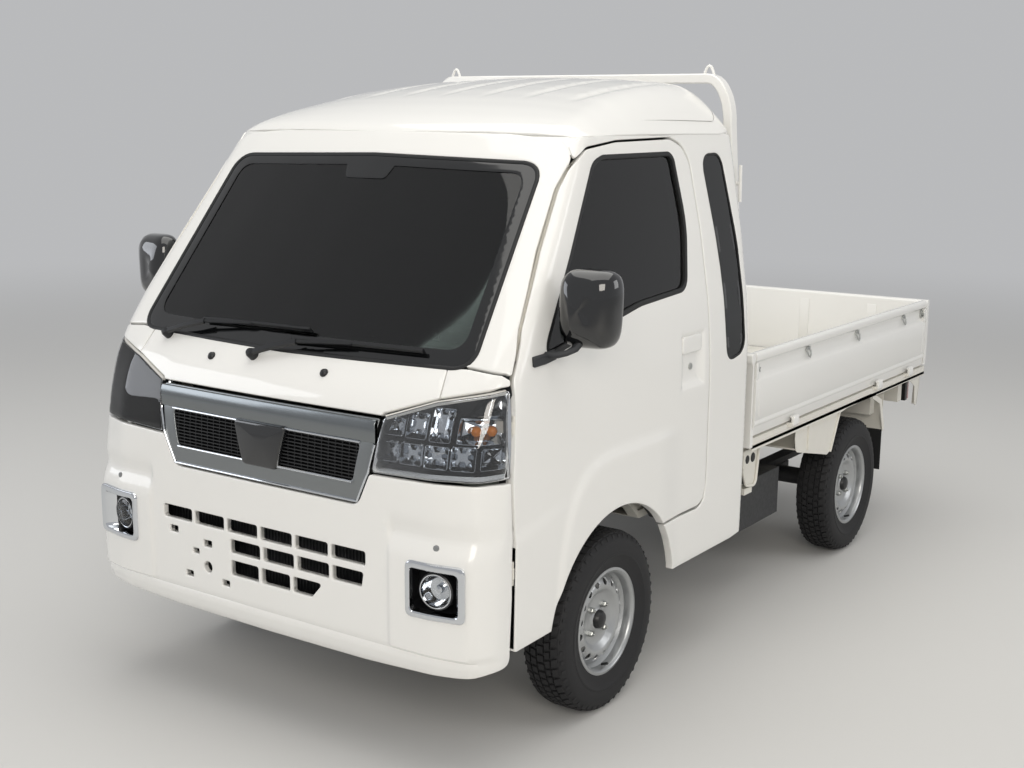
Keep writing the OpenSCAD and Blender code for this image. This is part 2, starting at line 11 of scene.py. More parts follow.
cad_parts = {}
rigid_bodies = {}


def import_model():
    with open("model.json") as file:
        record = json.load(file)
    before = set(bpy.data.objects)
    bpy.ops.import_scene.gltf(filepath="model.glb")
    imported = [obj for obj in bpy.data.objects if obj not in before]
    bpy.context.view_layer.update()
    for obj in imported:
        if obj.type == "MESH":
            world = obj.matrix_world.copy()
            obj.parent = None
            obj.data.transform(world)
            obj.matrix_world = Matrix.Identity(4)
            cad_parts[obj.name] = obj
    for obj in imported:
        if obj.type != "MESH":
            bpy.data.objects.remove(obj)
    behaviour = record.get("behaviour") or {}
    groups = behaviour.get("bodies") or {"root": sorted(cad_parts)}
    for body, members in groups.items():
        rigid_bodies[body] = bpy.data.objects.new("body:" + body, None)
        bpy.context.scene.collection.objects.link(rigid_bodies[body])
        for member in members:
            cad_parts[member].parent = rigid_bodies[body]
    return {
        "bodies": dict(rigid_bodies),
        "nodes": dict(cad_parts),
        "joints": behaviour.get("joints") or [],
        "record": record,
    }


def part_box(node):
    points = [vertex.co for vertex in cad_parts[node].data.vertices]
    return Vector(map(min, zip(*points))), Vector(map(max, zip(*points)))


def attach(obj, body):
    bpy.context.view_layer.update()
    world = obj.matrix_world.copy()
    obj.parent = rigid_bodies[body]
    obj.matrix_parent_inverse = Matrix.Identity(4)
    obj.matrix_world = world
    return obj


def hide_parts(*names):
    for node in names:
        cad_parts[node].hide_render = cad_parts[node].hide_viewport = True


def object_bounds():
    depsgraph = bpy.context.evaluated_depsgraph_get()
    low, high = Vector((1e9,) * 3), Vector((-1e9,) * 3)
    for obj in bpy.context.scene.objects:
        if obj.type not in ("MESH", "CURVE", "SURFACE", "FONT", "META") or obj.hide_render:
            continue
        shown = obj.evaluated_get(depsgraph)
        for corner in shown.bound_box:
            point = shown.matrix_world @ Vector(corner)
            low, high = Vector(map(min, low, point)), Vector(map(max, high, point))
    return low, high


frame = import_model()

# Lengths are millimetres of x (the truck's left), u (back from the bumper's face) and z (up).
CAD_LOW, CAD_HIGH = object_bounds()
FRONT = -CAD_HIGH[1] * 1000
SIDES = (1, -1)
SIDE_NAME = {1: "left", -1: "right"}


def node_box(name):
    """The low and high corners of a CAD node as [x, u, z]."""
    low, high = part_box(name)
    return [np.array((c[0] * 1000, c[1] * 1000 - FRONT, c[2] * 1000)) for c in (low, high)]


HALF_WIDTH = 737.5
WHEEL_LOW, WHEEL_HIGH = node_box("tyre_front_left")
WHEEL_R = WHEEL_HIGH[2] / 2
FRONT_WHEEL_U = (WHEEL_LOW[1] + WHEEL_HIGH[1]) / 2
REAR_WHEEL_U = sum(c[1] for c in node_box("tyre_rear_left")) / 2
TRACK_X = (WHEEL_LOW[0] + WHEEL_HIGH[0]) / 2
TYRE_W = WHEEL_HIGH[0] - WHEEL_LOW[0]
CAB_BACK = node_box("rear_panel")[1][1]
ROOF_TOP = node_box("roof_panel")[1][2]
BED_TOP = node_box("bed_floor")[1][2]
GATE_LOW, GATE_HIGH = node_box("gate_left")
TAIL_BACK = node_box("tailgate")[1][1]

# ---------------------------------------------------------------- materials


def colour(hex_code):
    """An sRGB hex code as a linear RGBA colour."""
    values = [int(hex_code[i:i + 2], 16) / 255 for i in (1, 3, 5)]
    return [v / 12.92 if v <= 0.04045 else ((v + 0.055) / 1.055) ** 2.4 for v in values] + [1.0]


def add_node(tree, kind, settings=None, links=None):
    """Adds one shader node, sets its fields or sockets, and links its inputs from other nodes' outputs."""
    node = tree.nodes.new("ShaderNode" + kind)
    for key, value in (settings or {}).items():
        if isinstance(key, str) and hasattr(node, key):
            setattr(node, key, value)
        else:
            node.inputs[key].default_value = value
    for key, (source, output) in (links or {}).items():
        tree.links.new(source.outputs[output], node.inputs[key])
    return node


def finish(name, base, roughness=0.5, metallic=0.0, ior=1.5, grain=None, bump=0.0, mottle=0.0,
           rough_mottle=0.0,
           coat=0.0, coat_roughness=0.03, alpha=1.0, sheen=0.0):
    """A surface with one colour, varied at the grain's size: grain and bump are in millimetres."""
    mat = bpy.data.materials.new(name)
    mat.use_nodes = True
    tree = mat.node_tree
    shader = tree.nodes["Principled BSDF"]
    shader.inputs["Base Color"].default_value = colour(base)
    values = {"Roughness": roughness, "Metallic": metallic, "Coat Weight": coat,
              "Coat Roughness": coat_roughness, "Alpha": alpha, "Sheen Weight": sheen}
    if not metallic:
        values["IOR"] = ior
    for key, value in values.items():
        shader.inputs[key].default_value = value
    if grain:
        place = add_node(tree, "TexCoord")
        noise = add_node(tree, "TexNoise", {"Scale": 1000 / grain, "Detail": 3.0},
                         {"Vector": (place, "Object")})
        if bump:
            height = add_node(tree, "Bump", {"Distance": bump / 1000, "Strength": 0.6},
                              {"Height": (noise, "Fac")})
            tree.links.new(height.outputs["Normal"], shader.inputs["Normal"])
        if mottle:
            dark = [c * (1 - mottle) for c in colour(base)[:3]] + [1.0]
            mix = add_node(tree, "Mix", {"data_type": "RGBA", 6: colour(base), 7: dark}, {0: (noise, "Fac")})
            tree.links.new(mix.outputs[2], shader.inputs["Base Color"])
        if rough_mottle:
            spread = add_node(tree, "MapRange", {"To Min": roughness - rough_mottle,
                                                 "To Max": roughness + rough_mottle},
                              {"Value": (noise, "Fac")})
            tree.links.new(spread.outputs["Result"], shader.inputs["Roughness"])
    return mat


def glazing(name, tint, ior):
    """A thin clear sheet: it lets light straight through, tinted, and mirrors more at a glancing angle."""
    mat = bpy.data.materials.new(name)
    mat.use_nodes = True
    tree = mat.node_tree
    edge = add_node(tree, "Fresnel", {"IOR": ior})
    place = add_node(tree, "TexCoord")
    wave = add_node(tree, "TexNoise", {"Scale": 2.5, "Detail": 1.0}, {"Vector": (place, "Object")})
    ripple = add_node(tree, "Bump", {"Distance": 0.0004, "Strength": 0.3}, {"Height": (wave, "Fac")})
    clear = add_node(tree, "BsdfTransparent", {"Color": colour(tint)})
    mirror = add_node(tree, "BsdfGlossy", {"Color": colour("#ffffff"), "Roughness": 0.02},
                      {"Normal": (ripple, "Normal")})
    mix = add_node(tree, "MixShader", None, {0: (edge, "Fac"), 1: (clear, "BSDF"), 2: (mirror, "BSDF")})
    tree.links.new(mix.outputs["Shader"], tree.nodes["Material Output"].inputs["Surface"])
    tree.nodes.remove(tree.nodes["Principled BSDF"])
    return mat


# Baked enamel under clear lacquer: a soft white with a sharp gloss and the faint ripple of sprayed paint.
ENAMEL = finish("baked_white_enamel", "#e7e6e2", 0.42, grain=9, bump=0.010, coat=1.0, coat_roughness=0.035)
# The same enamel sprayed thinner inside the bed, where it is flatter and slightly marked.
BED_ENAMEL = finish("bed_white_enamel", "#dedbd2", 0.45, grain=26, bump=0.02, mottle=0.05, coat=0.35,
                    coat_roughness=0.2)
# Chassis paint over cast and pressed steel: black, satin and a little dusty.
CHASSIS = finish("chassis_black_paint", "#26272a", 0.5, grain=14, bump=0.05, mottle=0.3, rough_mottle=0.12)
# Moulded polypropylene: dark grey with a fine leather-like grain that kills the gloss.
DASH_PLASTIC = finish("moulded_polypropylene", "#2c2e31", 0.62, grain=1.6, bump=0.08, mottle=0.12)
# Moulded ABS: a finer grain and a mid grey that reads as trim, not paint.
GREY_PLASTIC = finish("moulded_grey_abs", "#7d7f80", 0.5, grain=1.4, bump=0.05)
# Moulded acetal, left unpainted: black and satin, with soft highlights along its edges.
BLACK_PLASTIC = finish("black_acetal", "#141517", 0.38, grain=2.2, bump=0.04)
# Lacquered black ABS: deep and mirror-like, so that it shows the lights.
PIANO_BLACK = finish("gloss_black_abs", "#0a0b0d", 0.08, coat=1.0, coat_roughness=0.02, grain=30,
                     rough_mottle=0.02)
# Electroplated chrome: bright and nearly sharp, with a faint haze from handling.
CHROME = finish("chrome_plate", "#d7dade", 0.06, metallic=1.0, grain=40, rough_mottle=0.015)
# Chrome plate over a smoked lacquer: reflections stay sharp but darker.
SMOKED_CHROME = finish("smoked_chrome_plate", "#84888a", 0.2, metallic=1.0, grain=22, rough_mottle=0.04)
# Chrome plated over a blasted surface: bright but blurred.
SATIN_CHROME = finish("satin_chrome_plate", "#8e9192", 0.34, metallic=1.0, grain=6, rough_mottle=0.06)
# Sprayed lacquer with silver flakes: metallic and slightly mottled.
WHEEL_PAINT = finish("silver_flake_lacquer", "#b4b6b7", 0.33, metallic=0.75, grain=0.9, mottle=0.12,
                     rough_mottle=0.05)
# Steel dipped in zinc: pale and dull, with a faint bloom.
ZINC = finish("zinc_plated_steel", "#b9bbb8", 0.4, metallic=1.0, grain=5, mottle=0.12, rough_mottle=0.08)
# Forged and rolled steel left bare: dark, with scale and uneven gloss.
STEEL = finish("bare_steel", "#8b8c8c", 0.45, metallic=1.0, grain=8, bump=0.04, mottle=0.2, rough_mottle=0.1)
# Sand-cast aluminium: a rough skin that scatters the light.
CAST = finish("cast_aluminium", "#8d8f90", 0.55, metallic=0.9, grain=5, bump=0.12, mottle=0.15)
# Vulcanised tyre rubber: near black, with a dry sheen.
TYRE_RUBBER = finish("vulcanised_rubber", "#1c1c1e", 0.72, grain=3, bump=0.08, mottle=0.25, rough_mottle=0.08)
# Extruded rubber: smooth and black, a dark line round glass.
SEAL_RUBBER = finish("extruded_rubber", "#0f1011", 0.55, grain=4, bump=0.03)
# Rubber sheet cut to shape: flat, black and a little dusty.
FLAP_RUBBER = finish("sheet_rubber", "#18191a", 0.6, grain=5, bump=0.06, mottle=0.2)
# Float glass bent over a form, tinted green-grey through its thickness: clear, with sharp reflections.
SCREEN_GLASS = glazing("laminated_glass", "#ccd6d1", 1.52)
DOOR_GLASS = glazing("tempered_glass", "#a3aca8", 1.52)
# Glass tinted nearly black in the melt: it shows reflections and hardly anything behind.
DARK_GLASS = finish("privacy_glass", "#1a1f20", 0.03, ior=1.5, alpha=0.86)
# Ceramic ink fired onto the glass: opaque black with the gloss of the glass.
FRIT = finish("ceramic_frit", "#0c0d0e", 0.1, coat=0.6, grain=3, mottle=0.1)
# Moulded polycarbonate, clear and thin: it lets the bowls show and adds a sharp highlight.
LENS = glazing("clear_polycarbonate", "#f4f5f6", 1.58)
# Glass bulbs dipped in amber lacquer: a small warm spot.
AMBER = finish("amber_glass_bulb", "#e08423", 0.2, ior=1.5, grain=3, mottle=0.2)
# Acrylic moulded in red, polished by the mould: saturated and glossy.
RED_LENS = finish("red_acrylic", "#9d1016", 0.1, ior=1.49, coat=1.0, grain=4, mottle=0.2)
# Acrylic moulded with a frosted back: white and glossy.
CLEAR_LENS = finish("frosted_acrylic", "#e8e6e0", 0.15, ior=1.49, coat=1.0, grain=4, mottle=0.08)
# Glass silvered on its back: a plain mirror.
MIRROR_GLASS = finish("silvered_glass", "#c8ccd0", 0.02, metallic=1.0, grain=60, rough_mottle=0.01)


def woven(name, base, thread, depth):
    """Woven seat cloth: threads cross at the spacing given in millimetres, with a soft fibre sheen and
    painted shade in the hollows between the threads.
    """
    mat = finish(name, base, 0.85, sheen=0.35)
    tree = mat.node_tree
    shader = tree.nodes["Principled BSDF"]
    place = add_node(tree, "TexCoord")
    waves = [add_node(tree, "TexWave",
                      {"bands_direction": axis, "Scale": 1000 / thread / 6.283, "Distortion": 1.2},
                      {"Vector": (place, "Object")}) for axis in ("X", "Z")]
    cross = add_node(tree, "Math", {"operation": "MAXIMUM"}, {0: (waves[0], "Fac"), 1: (waves[1], "Fac")})
    # Painted shade: the hollows between the threads, low in the bump, are painted darker than the threads'
    # tops.
    dark = [c * 0.62 for c in colour(base)[:3]] + [1.0]
    mix = add_node(tree, "Mix", {"data_type": "RGBA", 6: dark, 7: colour(base)}, {0: (cross, "Value")})
    relief = add_node(tree, "Bump", {"Distance": depth / 1000, "Strength": 0.8}, {"Height": (cross, "Value")})
    tree.links.new(mix.outputs[2], shader.inputs["Base Color"])
    tree.links.new(relief.outputs["Normal"], shader.inputs["Normal"])
    return mat


# Woven on a loom; the real thread is under 1 mm and is drawn at 3 mm so that it shows.
SEAT_CLOTH = woven("woven_polyester", "#56585a", 3.0, 0.4)
# Knitted lining glued to a board: pale, soft and without gloss.
GREY_FABRIC = woven("knitted_polyester", "#8f8e8a", 4.0, 0.5)
# Fibres matted with needles: dark and dry.
NEEDLE_FELT = finish("needle_felt", "#3b3c3d", 0.95, grain=3, bump=0.3, mottle=0.3, sheen=0.3)
# Vinyl with a leather grain pressed in by a roller: a dull gloss on the seats' edges.
SEAT_VINYL = finish("embossed_vinyl", "#3a3c3f", 0.5, grain=2.5, bump=0.12, mottle=0.15)

# ---------------------------------------------------------------- shapes


def turns(count):
    """Angles once round in equal steps."""
    return np.linspace(0, 2 * math.pi, count, endpoint=False)


def flat_bar(a, b):
    """A rectangular section that reaches a sideways and b up and down."""
    return [(-a, -b), (a, -b), (a, b), (-a, b)]


BOX_FACES = [(0, 3, 2, 1), (4, 5, 6, 7), (0, 1, 5, 4), (1, 2, 6, 5), (2, 3, 7, 6), (3, 0, 4, 7)]


class Shape:
    """Points and faces of one piece, in millimetres of x, u and z."""

    def __init__(self):
        self.points = []
        self.faces = []
        self.paint = []

    def add(self, points, faces, paint=0):
        first = len(self.points)
        self.points += [tuple(p) for p in points]
        self.faces += [tuple(first + i for i in f) for f in faces]
        self.paint += [paint] * len(faces)
        return self

    def box(self, low, high, paint=0, taper=0.0):
        """A box; taper pulls its top in by that much on each side."""
        (x0, u0, z0), (x1, u1, z1) = low, high
        points = [(x0, u0, z0), (x1, u0, z0), (x1, u1, z0), (x0, u1, z0),
                  (x0 + taper, u0 + taper, z1), (x1 - taper, u0 + taper, z1),
                  (x1 - taper, u1 - taper, z1), (x0 + taper, u1 - taper, z1)]
        return self.add(points, BOX_FACES, paint)

    def sweep(self, path, section, paint=0, closed=False, up=(0, 0, 1), caps=True):
        """Carries a closed section of (sideways, upward) points along a path."""
        path = [Vector(p) for p in path]
        rings = []
        for i, p in enumerate(path):
            before = path[i - 1] if i or closed else p
            after = path[(i + 1) % len(path)] if i + 1 < len(path) or closed else p
            ahead = (after - before).normalized()
            across = ahead.cross(Vector(up))
            if across.length < 1e-4:
                across = ahead.cross(Vector((1, 0, 0)))
            across.normalize()
            top = across.cross(ahead)
            rings.append([p + across * a + top * b for a, b in section])
        return self.rings(rings, paint, closed, caps)

    def rings(self, rings, paint=0, closed=False, caps=True):
        """Skins a row of rings that have the same number of points."""
        n = len(rings[0])
        m = len(rings)
        faces = [(i * n + j, i * n + (j + 1) % n, (i + 1) % m * n + (j + 1) % n, (i + 1) % m * n + j)
                 for i in range(m if closed else m - 1) for j in range(n)]
        if caps and not closed:
            faces += [tuple(range(n))[::-1], tuple((m - 1) * n + j for j in range(n))]
        return self.add([p for r in rings for p in r], faces, paint)

    def tube(self, path, r, paint=0, sides=16, closed=False):
        turn = [(r * math.cos(t), r * math.sin(t)) for t in turns(sides)]
        return self.sweep(path, turn, paint, closed)

    def lathe(self, profile, centre, axis, paint=0, steps=48, closed=False):
        """Turns (radius, along) points about an axis through centre."""
        axis = Vector(axis).normalized()
        side = axis.cross(Vector((0, 0, 1)))
        side = Vector((0, 1, 0)) if side.length < 1e-4 else side.normalized()
        third = axis.cross(side)
        centre = Vector(centre)
        rings = []
        for t in turns(steps):
            out = side * math.cos(t) + third * math.sin(t)
            rings.append([centre + out * r + axis * a for r, a in profile])
        n = len(profile)
        faces = [(i * n + j, i * n + j + 1, (i + 1) % steps * n + j + 1, (i + 1) % steps * n + j)
                 for i in range(steps) for j in range(n - 1)]
        if closed:
            faces += [(i * n + n - 1, i * n, (i + 1) % steps * n, (i + 1) % steps * n + n - 1)
                      for i in range(steps)]
        return self.add([p for r in rings for p in r], faces, paint)

    def prism(self, outline, low, high, plane="xz", paint=0):
        """Extrudes an outline of xz, uz or xu points between two values of the third axis."""
        def lift(a, b, c):
            return {"xz": (a, c, b), "uz": (c, a, b), "xu": (a, b, c)}[plane]
        n = len(outline)
        points = [lift(a, b, low) for a, b in outline] + [lift(a, b, high) for a, b in outline]
        faces = [tuple(range(n)), tuple(range(2 * n - 1, n - 1, -1))]
        faces += [(i, n + i, n + (i + 1) % n, (i + 1) % n) for i in range(n)]
        return self.add(points, faces, paint)

    def mirrored(self):
        """The same shape on the other side of the truck."""
        return self.copied([(-x, u, z) for x, u, z in self.points], [f[::-1] for f in self.faces])

    def on_side(self, side):
        """The left-hand shape itself, or its mirror image on the right."""
        return self if side > 0 else self.mirrored()

    def both(self):
        """Adds the mirror image to the shape."""
        return self.merge(self.mirrored())

    def moved(self, shift):
        return self.copied([tuple(np.add(p, shift)) for p in self.points], list(self.faces))

    def copied(self, points, faces):
        other = Shape()
        other.points, other.faces, other.paint = points, faces, list(self.paint)
        return other

    def merge(self, other):
        first = len(self.points)
        self.points += other.points
        self.faces += [tuple(first + i for i in f) for f in other.faces]
        self.paint += other.paint
        return self

    def build(self, name, materials, body="truck", slot=None, replaces=(), bevel=0.0, crease=35, steps=2):
        """Makes the Blender object, rounds its edges and fixes it to its body."""
        mesh = bpy.data.meshes.new(name)
        mesh.from_pydata([(x / 1000, (u + FRONT) / 1000, z / 1000) for x, u, z in self.points], [],
                         self.faces)
        work = bmesh.new()
        work.from_mesh(mesh)
        bmesh.ops.recalc_face_normals(work, faces=work.faces)
        work.to_mesh(mesh)
        work.free()
        for polygon, paint in zip(mesh.polygons, self.paint):
            polygon.material_index = paint
            polygon.use_smooth = True
        mesh.set_sharp_from_angle(angle=math.radians(crease))
        materials = materials if isinstance(materials, (list, tuple)) else [materials]
        for m in materials:
            mesh.materials.append(m)
        piece = bpy.data.objects.new(name, mesh)
        bpy.context.scene.collection.objects.link(piece)
        if bevel:
            mod = piece.modifiers.new("rounded_edges", "BEVEL")
            mod.width = bevel / 1000
            mod.segments = steps
            mod.limit_method = "ANGLE"
            mod.angle_limit = math.radians(crease)
            mod.use_clamp_overlap = True
        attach(piece, body)
        if replaces:
            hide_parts(*replaces)
        return piece


def ramp(value, start, end):
    """0 before start, 1 after end and smooth between."""
    t = np.clip((np.asarray(value, float) - start) / (end - start), 0, 1)
    return t * t * (3 - 2 * t)


def signed_area(loop):
    x, y = np.asarray(loop, float).T
    return 0.5 * np.sum(x * np.roll(y, -1) - np.roll(x, -1) * y)


def rounded(corners, step=10.0, radius=0.0):
    """A closed outline from corners (a, b) or (a, b, radius), with its edges cut into short steps."""
    corners = [tuple(c) + ((radius,) if len(c) == 2 else ()) for c in corners]
    loop = []
    n = len(corners)
    for i in range(n):
        p = np.array(corners[i][:2], float)
        before = np.array(corners[i - 1][:2], float) - p
        after = np.array(corners[(i + 1) % n][:2], float) - p
        r = corners[i][2]
        la, lb = np.linalg.norm(before), np.linalg.norm(after)
        a, b = before / la, after / lb
        angle = math.acos(np.clip(a @ b, -1, 1))
        cut = min(r / max(math.tan(angle / 2), 1e-3), 0.48 * la, 0.48 * lb)
        if r < 0.5 or math.pi - angle < 0.06:
            loop.append(p)
            continue
        start, end = p + a * cut, p + b * cut
        turns = max(3, int((math.pi - angle) / 0.22))
        for t in np.linspace(0, 1, turns + 1):
            pull = p * 0.86 + (start + end) * 0.07
            loop.append((1 - t) ** 2 * start + 2 * t * (1 - t) * pull + t * t * end)
    dense = []
    for i, p in enumerate(loop):
        q = loop[(i + 1) % len(loop)]
        parts = max(1, int(np.linalg.norm(q - p) / step))
        dense += [p + (q - p) * k / parts for k in range(parts)]
    loop = np.array(dense)
    return loop if signed_area(loop) > 0 else loop[::-1]


def shrunk(loop, d):
    """The outline moved inwards by d (outwards if d is negative)."""
    ahead = np.roll(loop, -1, 0) - loop
    ahead /= np.maximum(np.linalg.norm(ahead, axis=1), 1e-6)[:, None]
    behind = np.roll(ahead, 1, 0)
    normal = np.stack([-(ahead + behind)[:, 1], (ahead + behind)[:, 0]], 1)
    length = np.linalg.norm(normal, axis=1)
    normal /= np.maximum(length, 1e-6)[:, None]
    return loop + normal * d / np.clip(length / 2, 0.5, 1)[:, None]


def inside(points, loop):
    """Which points lie inside a closed outline."""
    x, y = points[:, 0][:, None], points[:, 1][:, None]
    x0, y0 = loop[:, 0], loop[:, 1]
    x1, y1 = np.roll(x0, -1), np.roll(y0, -1)
    crosses = (y0 > y) != (y1 > y)
    with np.errstate(divide="ignore", invalid="ignore"):
        at = x0 + (y - y0) * (x1 - x0) / (y1 - y0)
    return (np.sum(crosses & (x < at), axis=1) % 2) == 1


def away(points, loop, gap):
    """Which points lie at least gap from an outline's own points."""
    keep = np.ones(len(points), bool)
    for chunk in range(0, len(loop), 60):
        part = loop[chunk:chunk + 60]
        d = np.min(np.sum((points[:, None] - part[None]) ** 2, axis=2), axis=1)
        keep &= d > gap * gap
    return keep


ROLL = ((0.0, 1.0), (0.25, 0.34), (0.62, 0.08), (1.1, 0.0))


def skin(surface, outer, holes=(), grid=12.0, roll=3.0, thickness=1.2, flip=1, extra=None, lip=0.0):
    """A sheet cut from a surface: its edges roll inwards, and it has a back at its thickness.

    surface maps (a, b) arrays to points; outer and holes are outlines in a and b; lip is the depth of the
    flange that turns inwards along every edge.
    """
    loops = [[shrunk(loop, s * roll * d) for d, _ in ROLL]
             for loop, s in [(outer, 1)] + [(h, -1) for h in holes]]
    drops = [depth * roll for _, depth in ROLL]
    flat, drop, edges = [], [], []
    for family in loops:
        for ring, depth in zip(family, drops):
            first = len(flat)
            flat += list(ring)
            drop += [depth] * len(ring)
            edges += [(first + i, first + (i + 1) % len(ring)) for i in range(len(ring))]
    low, high = outer.min(0), outer.max(0)
    a = np.arange(low[0] + grid / 2, high[0], grid)
    b = np.arange(low[1] + grid / 2, high[1], grid * 0.87)
    aa, bb = np.meshgrid(a, b)
    aa[1::2] += grid / 2
    inner = np.stack([aa.ravel(), bb.ravel()], 1)
    if extra is not None:
        inner = np.concatenate([inner[away(inner, extra, grid * 0.5)], extra])
    for index, family in enumerate(loops):
        ring = family[-1]
        hit = inside(inner, ring)
        inner = inner[hit if index == 0 else ~hit]
        inner = inner[away(inner, ring, grid * 0.45)]
    flat = np.array(flat + list(inner))
    drop = np.array(drop + [0.0] * len(inner))
    out = delaunay_2d_cdt([Vector(p) for p in flat], edges, [], 0, 1e-4)
    points2, faces, source = out[0], out[2], out[3]
    drop = np.array([drop[s[0]] if s else 0.0 for s in source])
    flat = np.array([tuple(p) for p in points2])
    faces = np.array([f for f in faces if len(f) == 3])
    middle = flat[faces].mean(1)
    keep = inside(middle, outer)
    for h in holes:
        keep &= ~inside(middle, h)
    faces = faces[keep]
    points = surface(flat[:, 0], flat[:, 1])
    step = 1.5
    da = surface(flat[:, 0] + step, flat[:, 1]) - surface(flat[:, 0] - step, flat[:, 1])
    db = surface(flat[:, 0], flat[:, 1] + step) - surface(flat[:, 0], flat[:, 1] - step)
    normal = np.cross(da, db) * flip
    normal /= np.maximum(np.linalg.norm(normal, axis=1), 1e-9)[:, None]
    front = points - normal * drop[:, None]
    shape = Shape()
    n = len(front)
    rear = front - normal * thickness
    count = {}
    for f in faces:
        for i in range(3):
            e = (f[i], f[(i + 1) % 3])
            count[e] = count.get(e, 0) + 1
    rim = [e for e in count if (e[1], e[0]) not in count]
    points = [front, rear]
    if lip:
        ids = sorted({v for e in rim for v in e})
        slot = {v: 2 * n + k for k, v in enumerate(ids)}
        points.append(front[ids] - normal[ids] * lip)
        walls = [(e[1], e[0], slot[e[0]], slot[e[1]]) for e in rim]
        walls += [(slot[e[1]], slot[e[0]], e[0] + n, e[1] + n) for e in rim]
    else:
        walls = [(e[1], e[0], e[0] + n, e[1] + n) for e in rim]
    shape.add(np.concatenate(points), faces.tolist() + (faces[:, ::-1] + n).tolist() + walls)
    return shape


# ---------------------------------------------------------------- the cab's surface

SCREEN_FOOT = (97.0, 1062.0)           # u and z of the windscreen's foot on the centre line
SCREEN_LEAN = 0.758                    # u per z of the windscreen

# Plan of the cab at each height: distance back at the centre line, further distance back at 55, 80, 95
# and 100 % of the half width, and the half width.
PLAN = np.array([
    # z, centre, 55 %, 80 %, 95 %, 100 %, half width
    (240, 40, 4, 12, 40, 110, 722),
    (285, 17, 3, 8, 32, 106, 730),
    (345, 10, 2, 5, 26, 100, 735),
    (560, 9, 2, 5, 26, 100, 737),
    (640, 10, 2, 6, 28, 102, 737.5),
    (720, 10, 2, 10, 40, 116, 737.5),
    (800, 8, 2, 16, 54, 128, 737.5),
    (880, 12, 5, 24, 62, 134, 737.5),
    (950, 26, 9, 30, 66, 132, 737),
    (1000, 48, 11, 31, 60, 122, 736),
    (1040, 76, 12, 30, 52, 104, 733),
    (1075, 107, 12, 28, 44, 84, 731),
    (1150, 163.7, 12, 27, 41, 72, 725),
    (1350, 315.3, 12, 26, 40, 66, 697),
    (1600, 504.8, 12, 24, 38, 62, 652),
    (1680, 565.4, 12, 24, 38, 62, 636),
    (1760, 626, 12, 24, 38, 62, 618)])
Z_STEP = 4.0
S_STEP = 4.0
Z_GRID = np.arange(250, 1750, Z_STEP)


def smooth(values, width):
    """Averages along the first axis with a bell of the given width in samples."""
    reach = int(width * 3)
    bell = np.exp(-0.5 * (np.arange(-reach, reach + 1) / width) ** 2)
    bell /= bell.sum()
    padded = np.concatenate([np.repeat(values[:1], reach, 0), values, np.repeat(values[-1:], reach, 0)])
    return np.stack([np.convolve(padded[:, i], bell, "valid") for i in range(values.shape[1])], 1)


def plan_grids():
    """x and u of the cab's skin for each height and each distance s round the plan from its centre."""
    table = np.stack([np.interp(Z_GRID, PLAN[:, 0], PLAN[:, i]) for i in range(1, 7)], 1)
    table = smooth(table, 4)
    s = np.arange(-60, 1500, S_STEP)
    xs, us = [], []
    for centre, a, b, c, d, w in table:
        xx = np.array([0, 0.28, 0.55, 0.8, 0.95, 1, 1, 1]) * w
        uu = centre + np.array([0, a * 0.3, a, b, c, d, d + 80, d + 1700])
        length = np.concatenate([[0], np.cumsum(np.hypot(np.diff(xx), np.diff(uu)))])
        x = np.interp(np.abs(s), length, xx) * np.sign(s)
        u = np.interp(np.abs(s), length, uu)
        both = smooth(np.stack([x, u], 1), 4.2)
        xs.append(both[:, 0])
        us.append(both[:, 1])
    return s, np.array(xs), np.array(us)


S_GRID, PLAN_X, PLAN_U = plan_grids()


def look_up(grid, s, z):
    """Bilinear value of a grid at distance s and height z."""
    i = np.clip((np.asarray(z, float) - Z_GRID[0]) / Z_STEP, 0, len(Z_GRID) - 1.001)
    j = np.clip((np.asarray(s, float) - S_GRID[0]) / S_STEP, 0, len(S_GRID) - 1.001)
    i0, j0 = i.astype(int), j.astype(int)
    fi, fj = i - i0, j - j0
    return ((grid[i0, j0] * (1 - fj) + grid[i0, j0 + 1] * fj) * (1 - fi)
            + (grid[i0 + 1, j0] * (1 - fj) + grid[i0 + 1, j0 + 1] * fj) * fi)


def round_at(x=None, u=None, z=0.0):
    """The (s, z) of a point on the skin given by its x or by its u."""
    at = min(max((z - Z_GRID[0]) / Z_STEP, 0), len(Z_GRID) - 1.001)
    row = int(at)
    if x is not None:
        line = PLAN_X[row] * (row + 1 - at) + PLAN_X[row + 1] * (at - row)
        return (float(np.interp(abs(x), line, S_GRID)) * (1 if x >= 0 else -1), z)
    line = PLAN_U[row] * (row + 1 - at) + PLAN_U[row + 1] * (at - row)
    return (float(np.interp(abs(u), line[15:], S_GRID[15:])), z)


POD_EDGE = 452
# How far the bumper's outer pods stand back from the plain skin at each height.
POD_Z = np.array([240, 285, 300, 338, 346, 356, 606, 622, 662, 670, 706, 724, 1800])
POD_BACK = np.array([10, 6, 2, 0, 4, -6, -7, -4, 9, 9, 1, 0, 0])
MID_BACK = np.array([10, 6, 2, 0, 4, 1, 0, 0, 0, 0, 0, 0, 0])


def front_relief(x, z):
    """How far the front stands back from the plain skin: the pods, the band above them and the lower lip."""
    pod = ramp(np.abs(x), POD_EDGE - 9, POD_EDGE + 9)
    return np.interp(z, POD_Z, POD_BACK) * pod + np.interp(z, POD_Z, MID_BACK) * (1 - pod)


def wrap(s, z, inwards=0.0):
    """The front's skin at distance s round the plan and height z."""
    s = np.asarray(s, float)
    z = np.asarray(z, float)
    x = look_up(PLAN_X, np.abs(s), z) * np.where(s < 0, -1, 1)
    u = look_up(PLAN_U, np.abs(s), z) + front_relief(x, z) * (1 - ramp(np.abs(s), 770, 800))
    points = np.stack([x, u, z], -1)
    if inwards:
        points = points + np.stack([-x / HALF_WIDTH * inwards * ramp(np.abs(x), 300, 720),
                                    inwards * np.ones_like(x), 0 * x], -1)
    return points


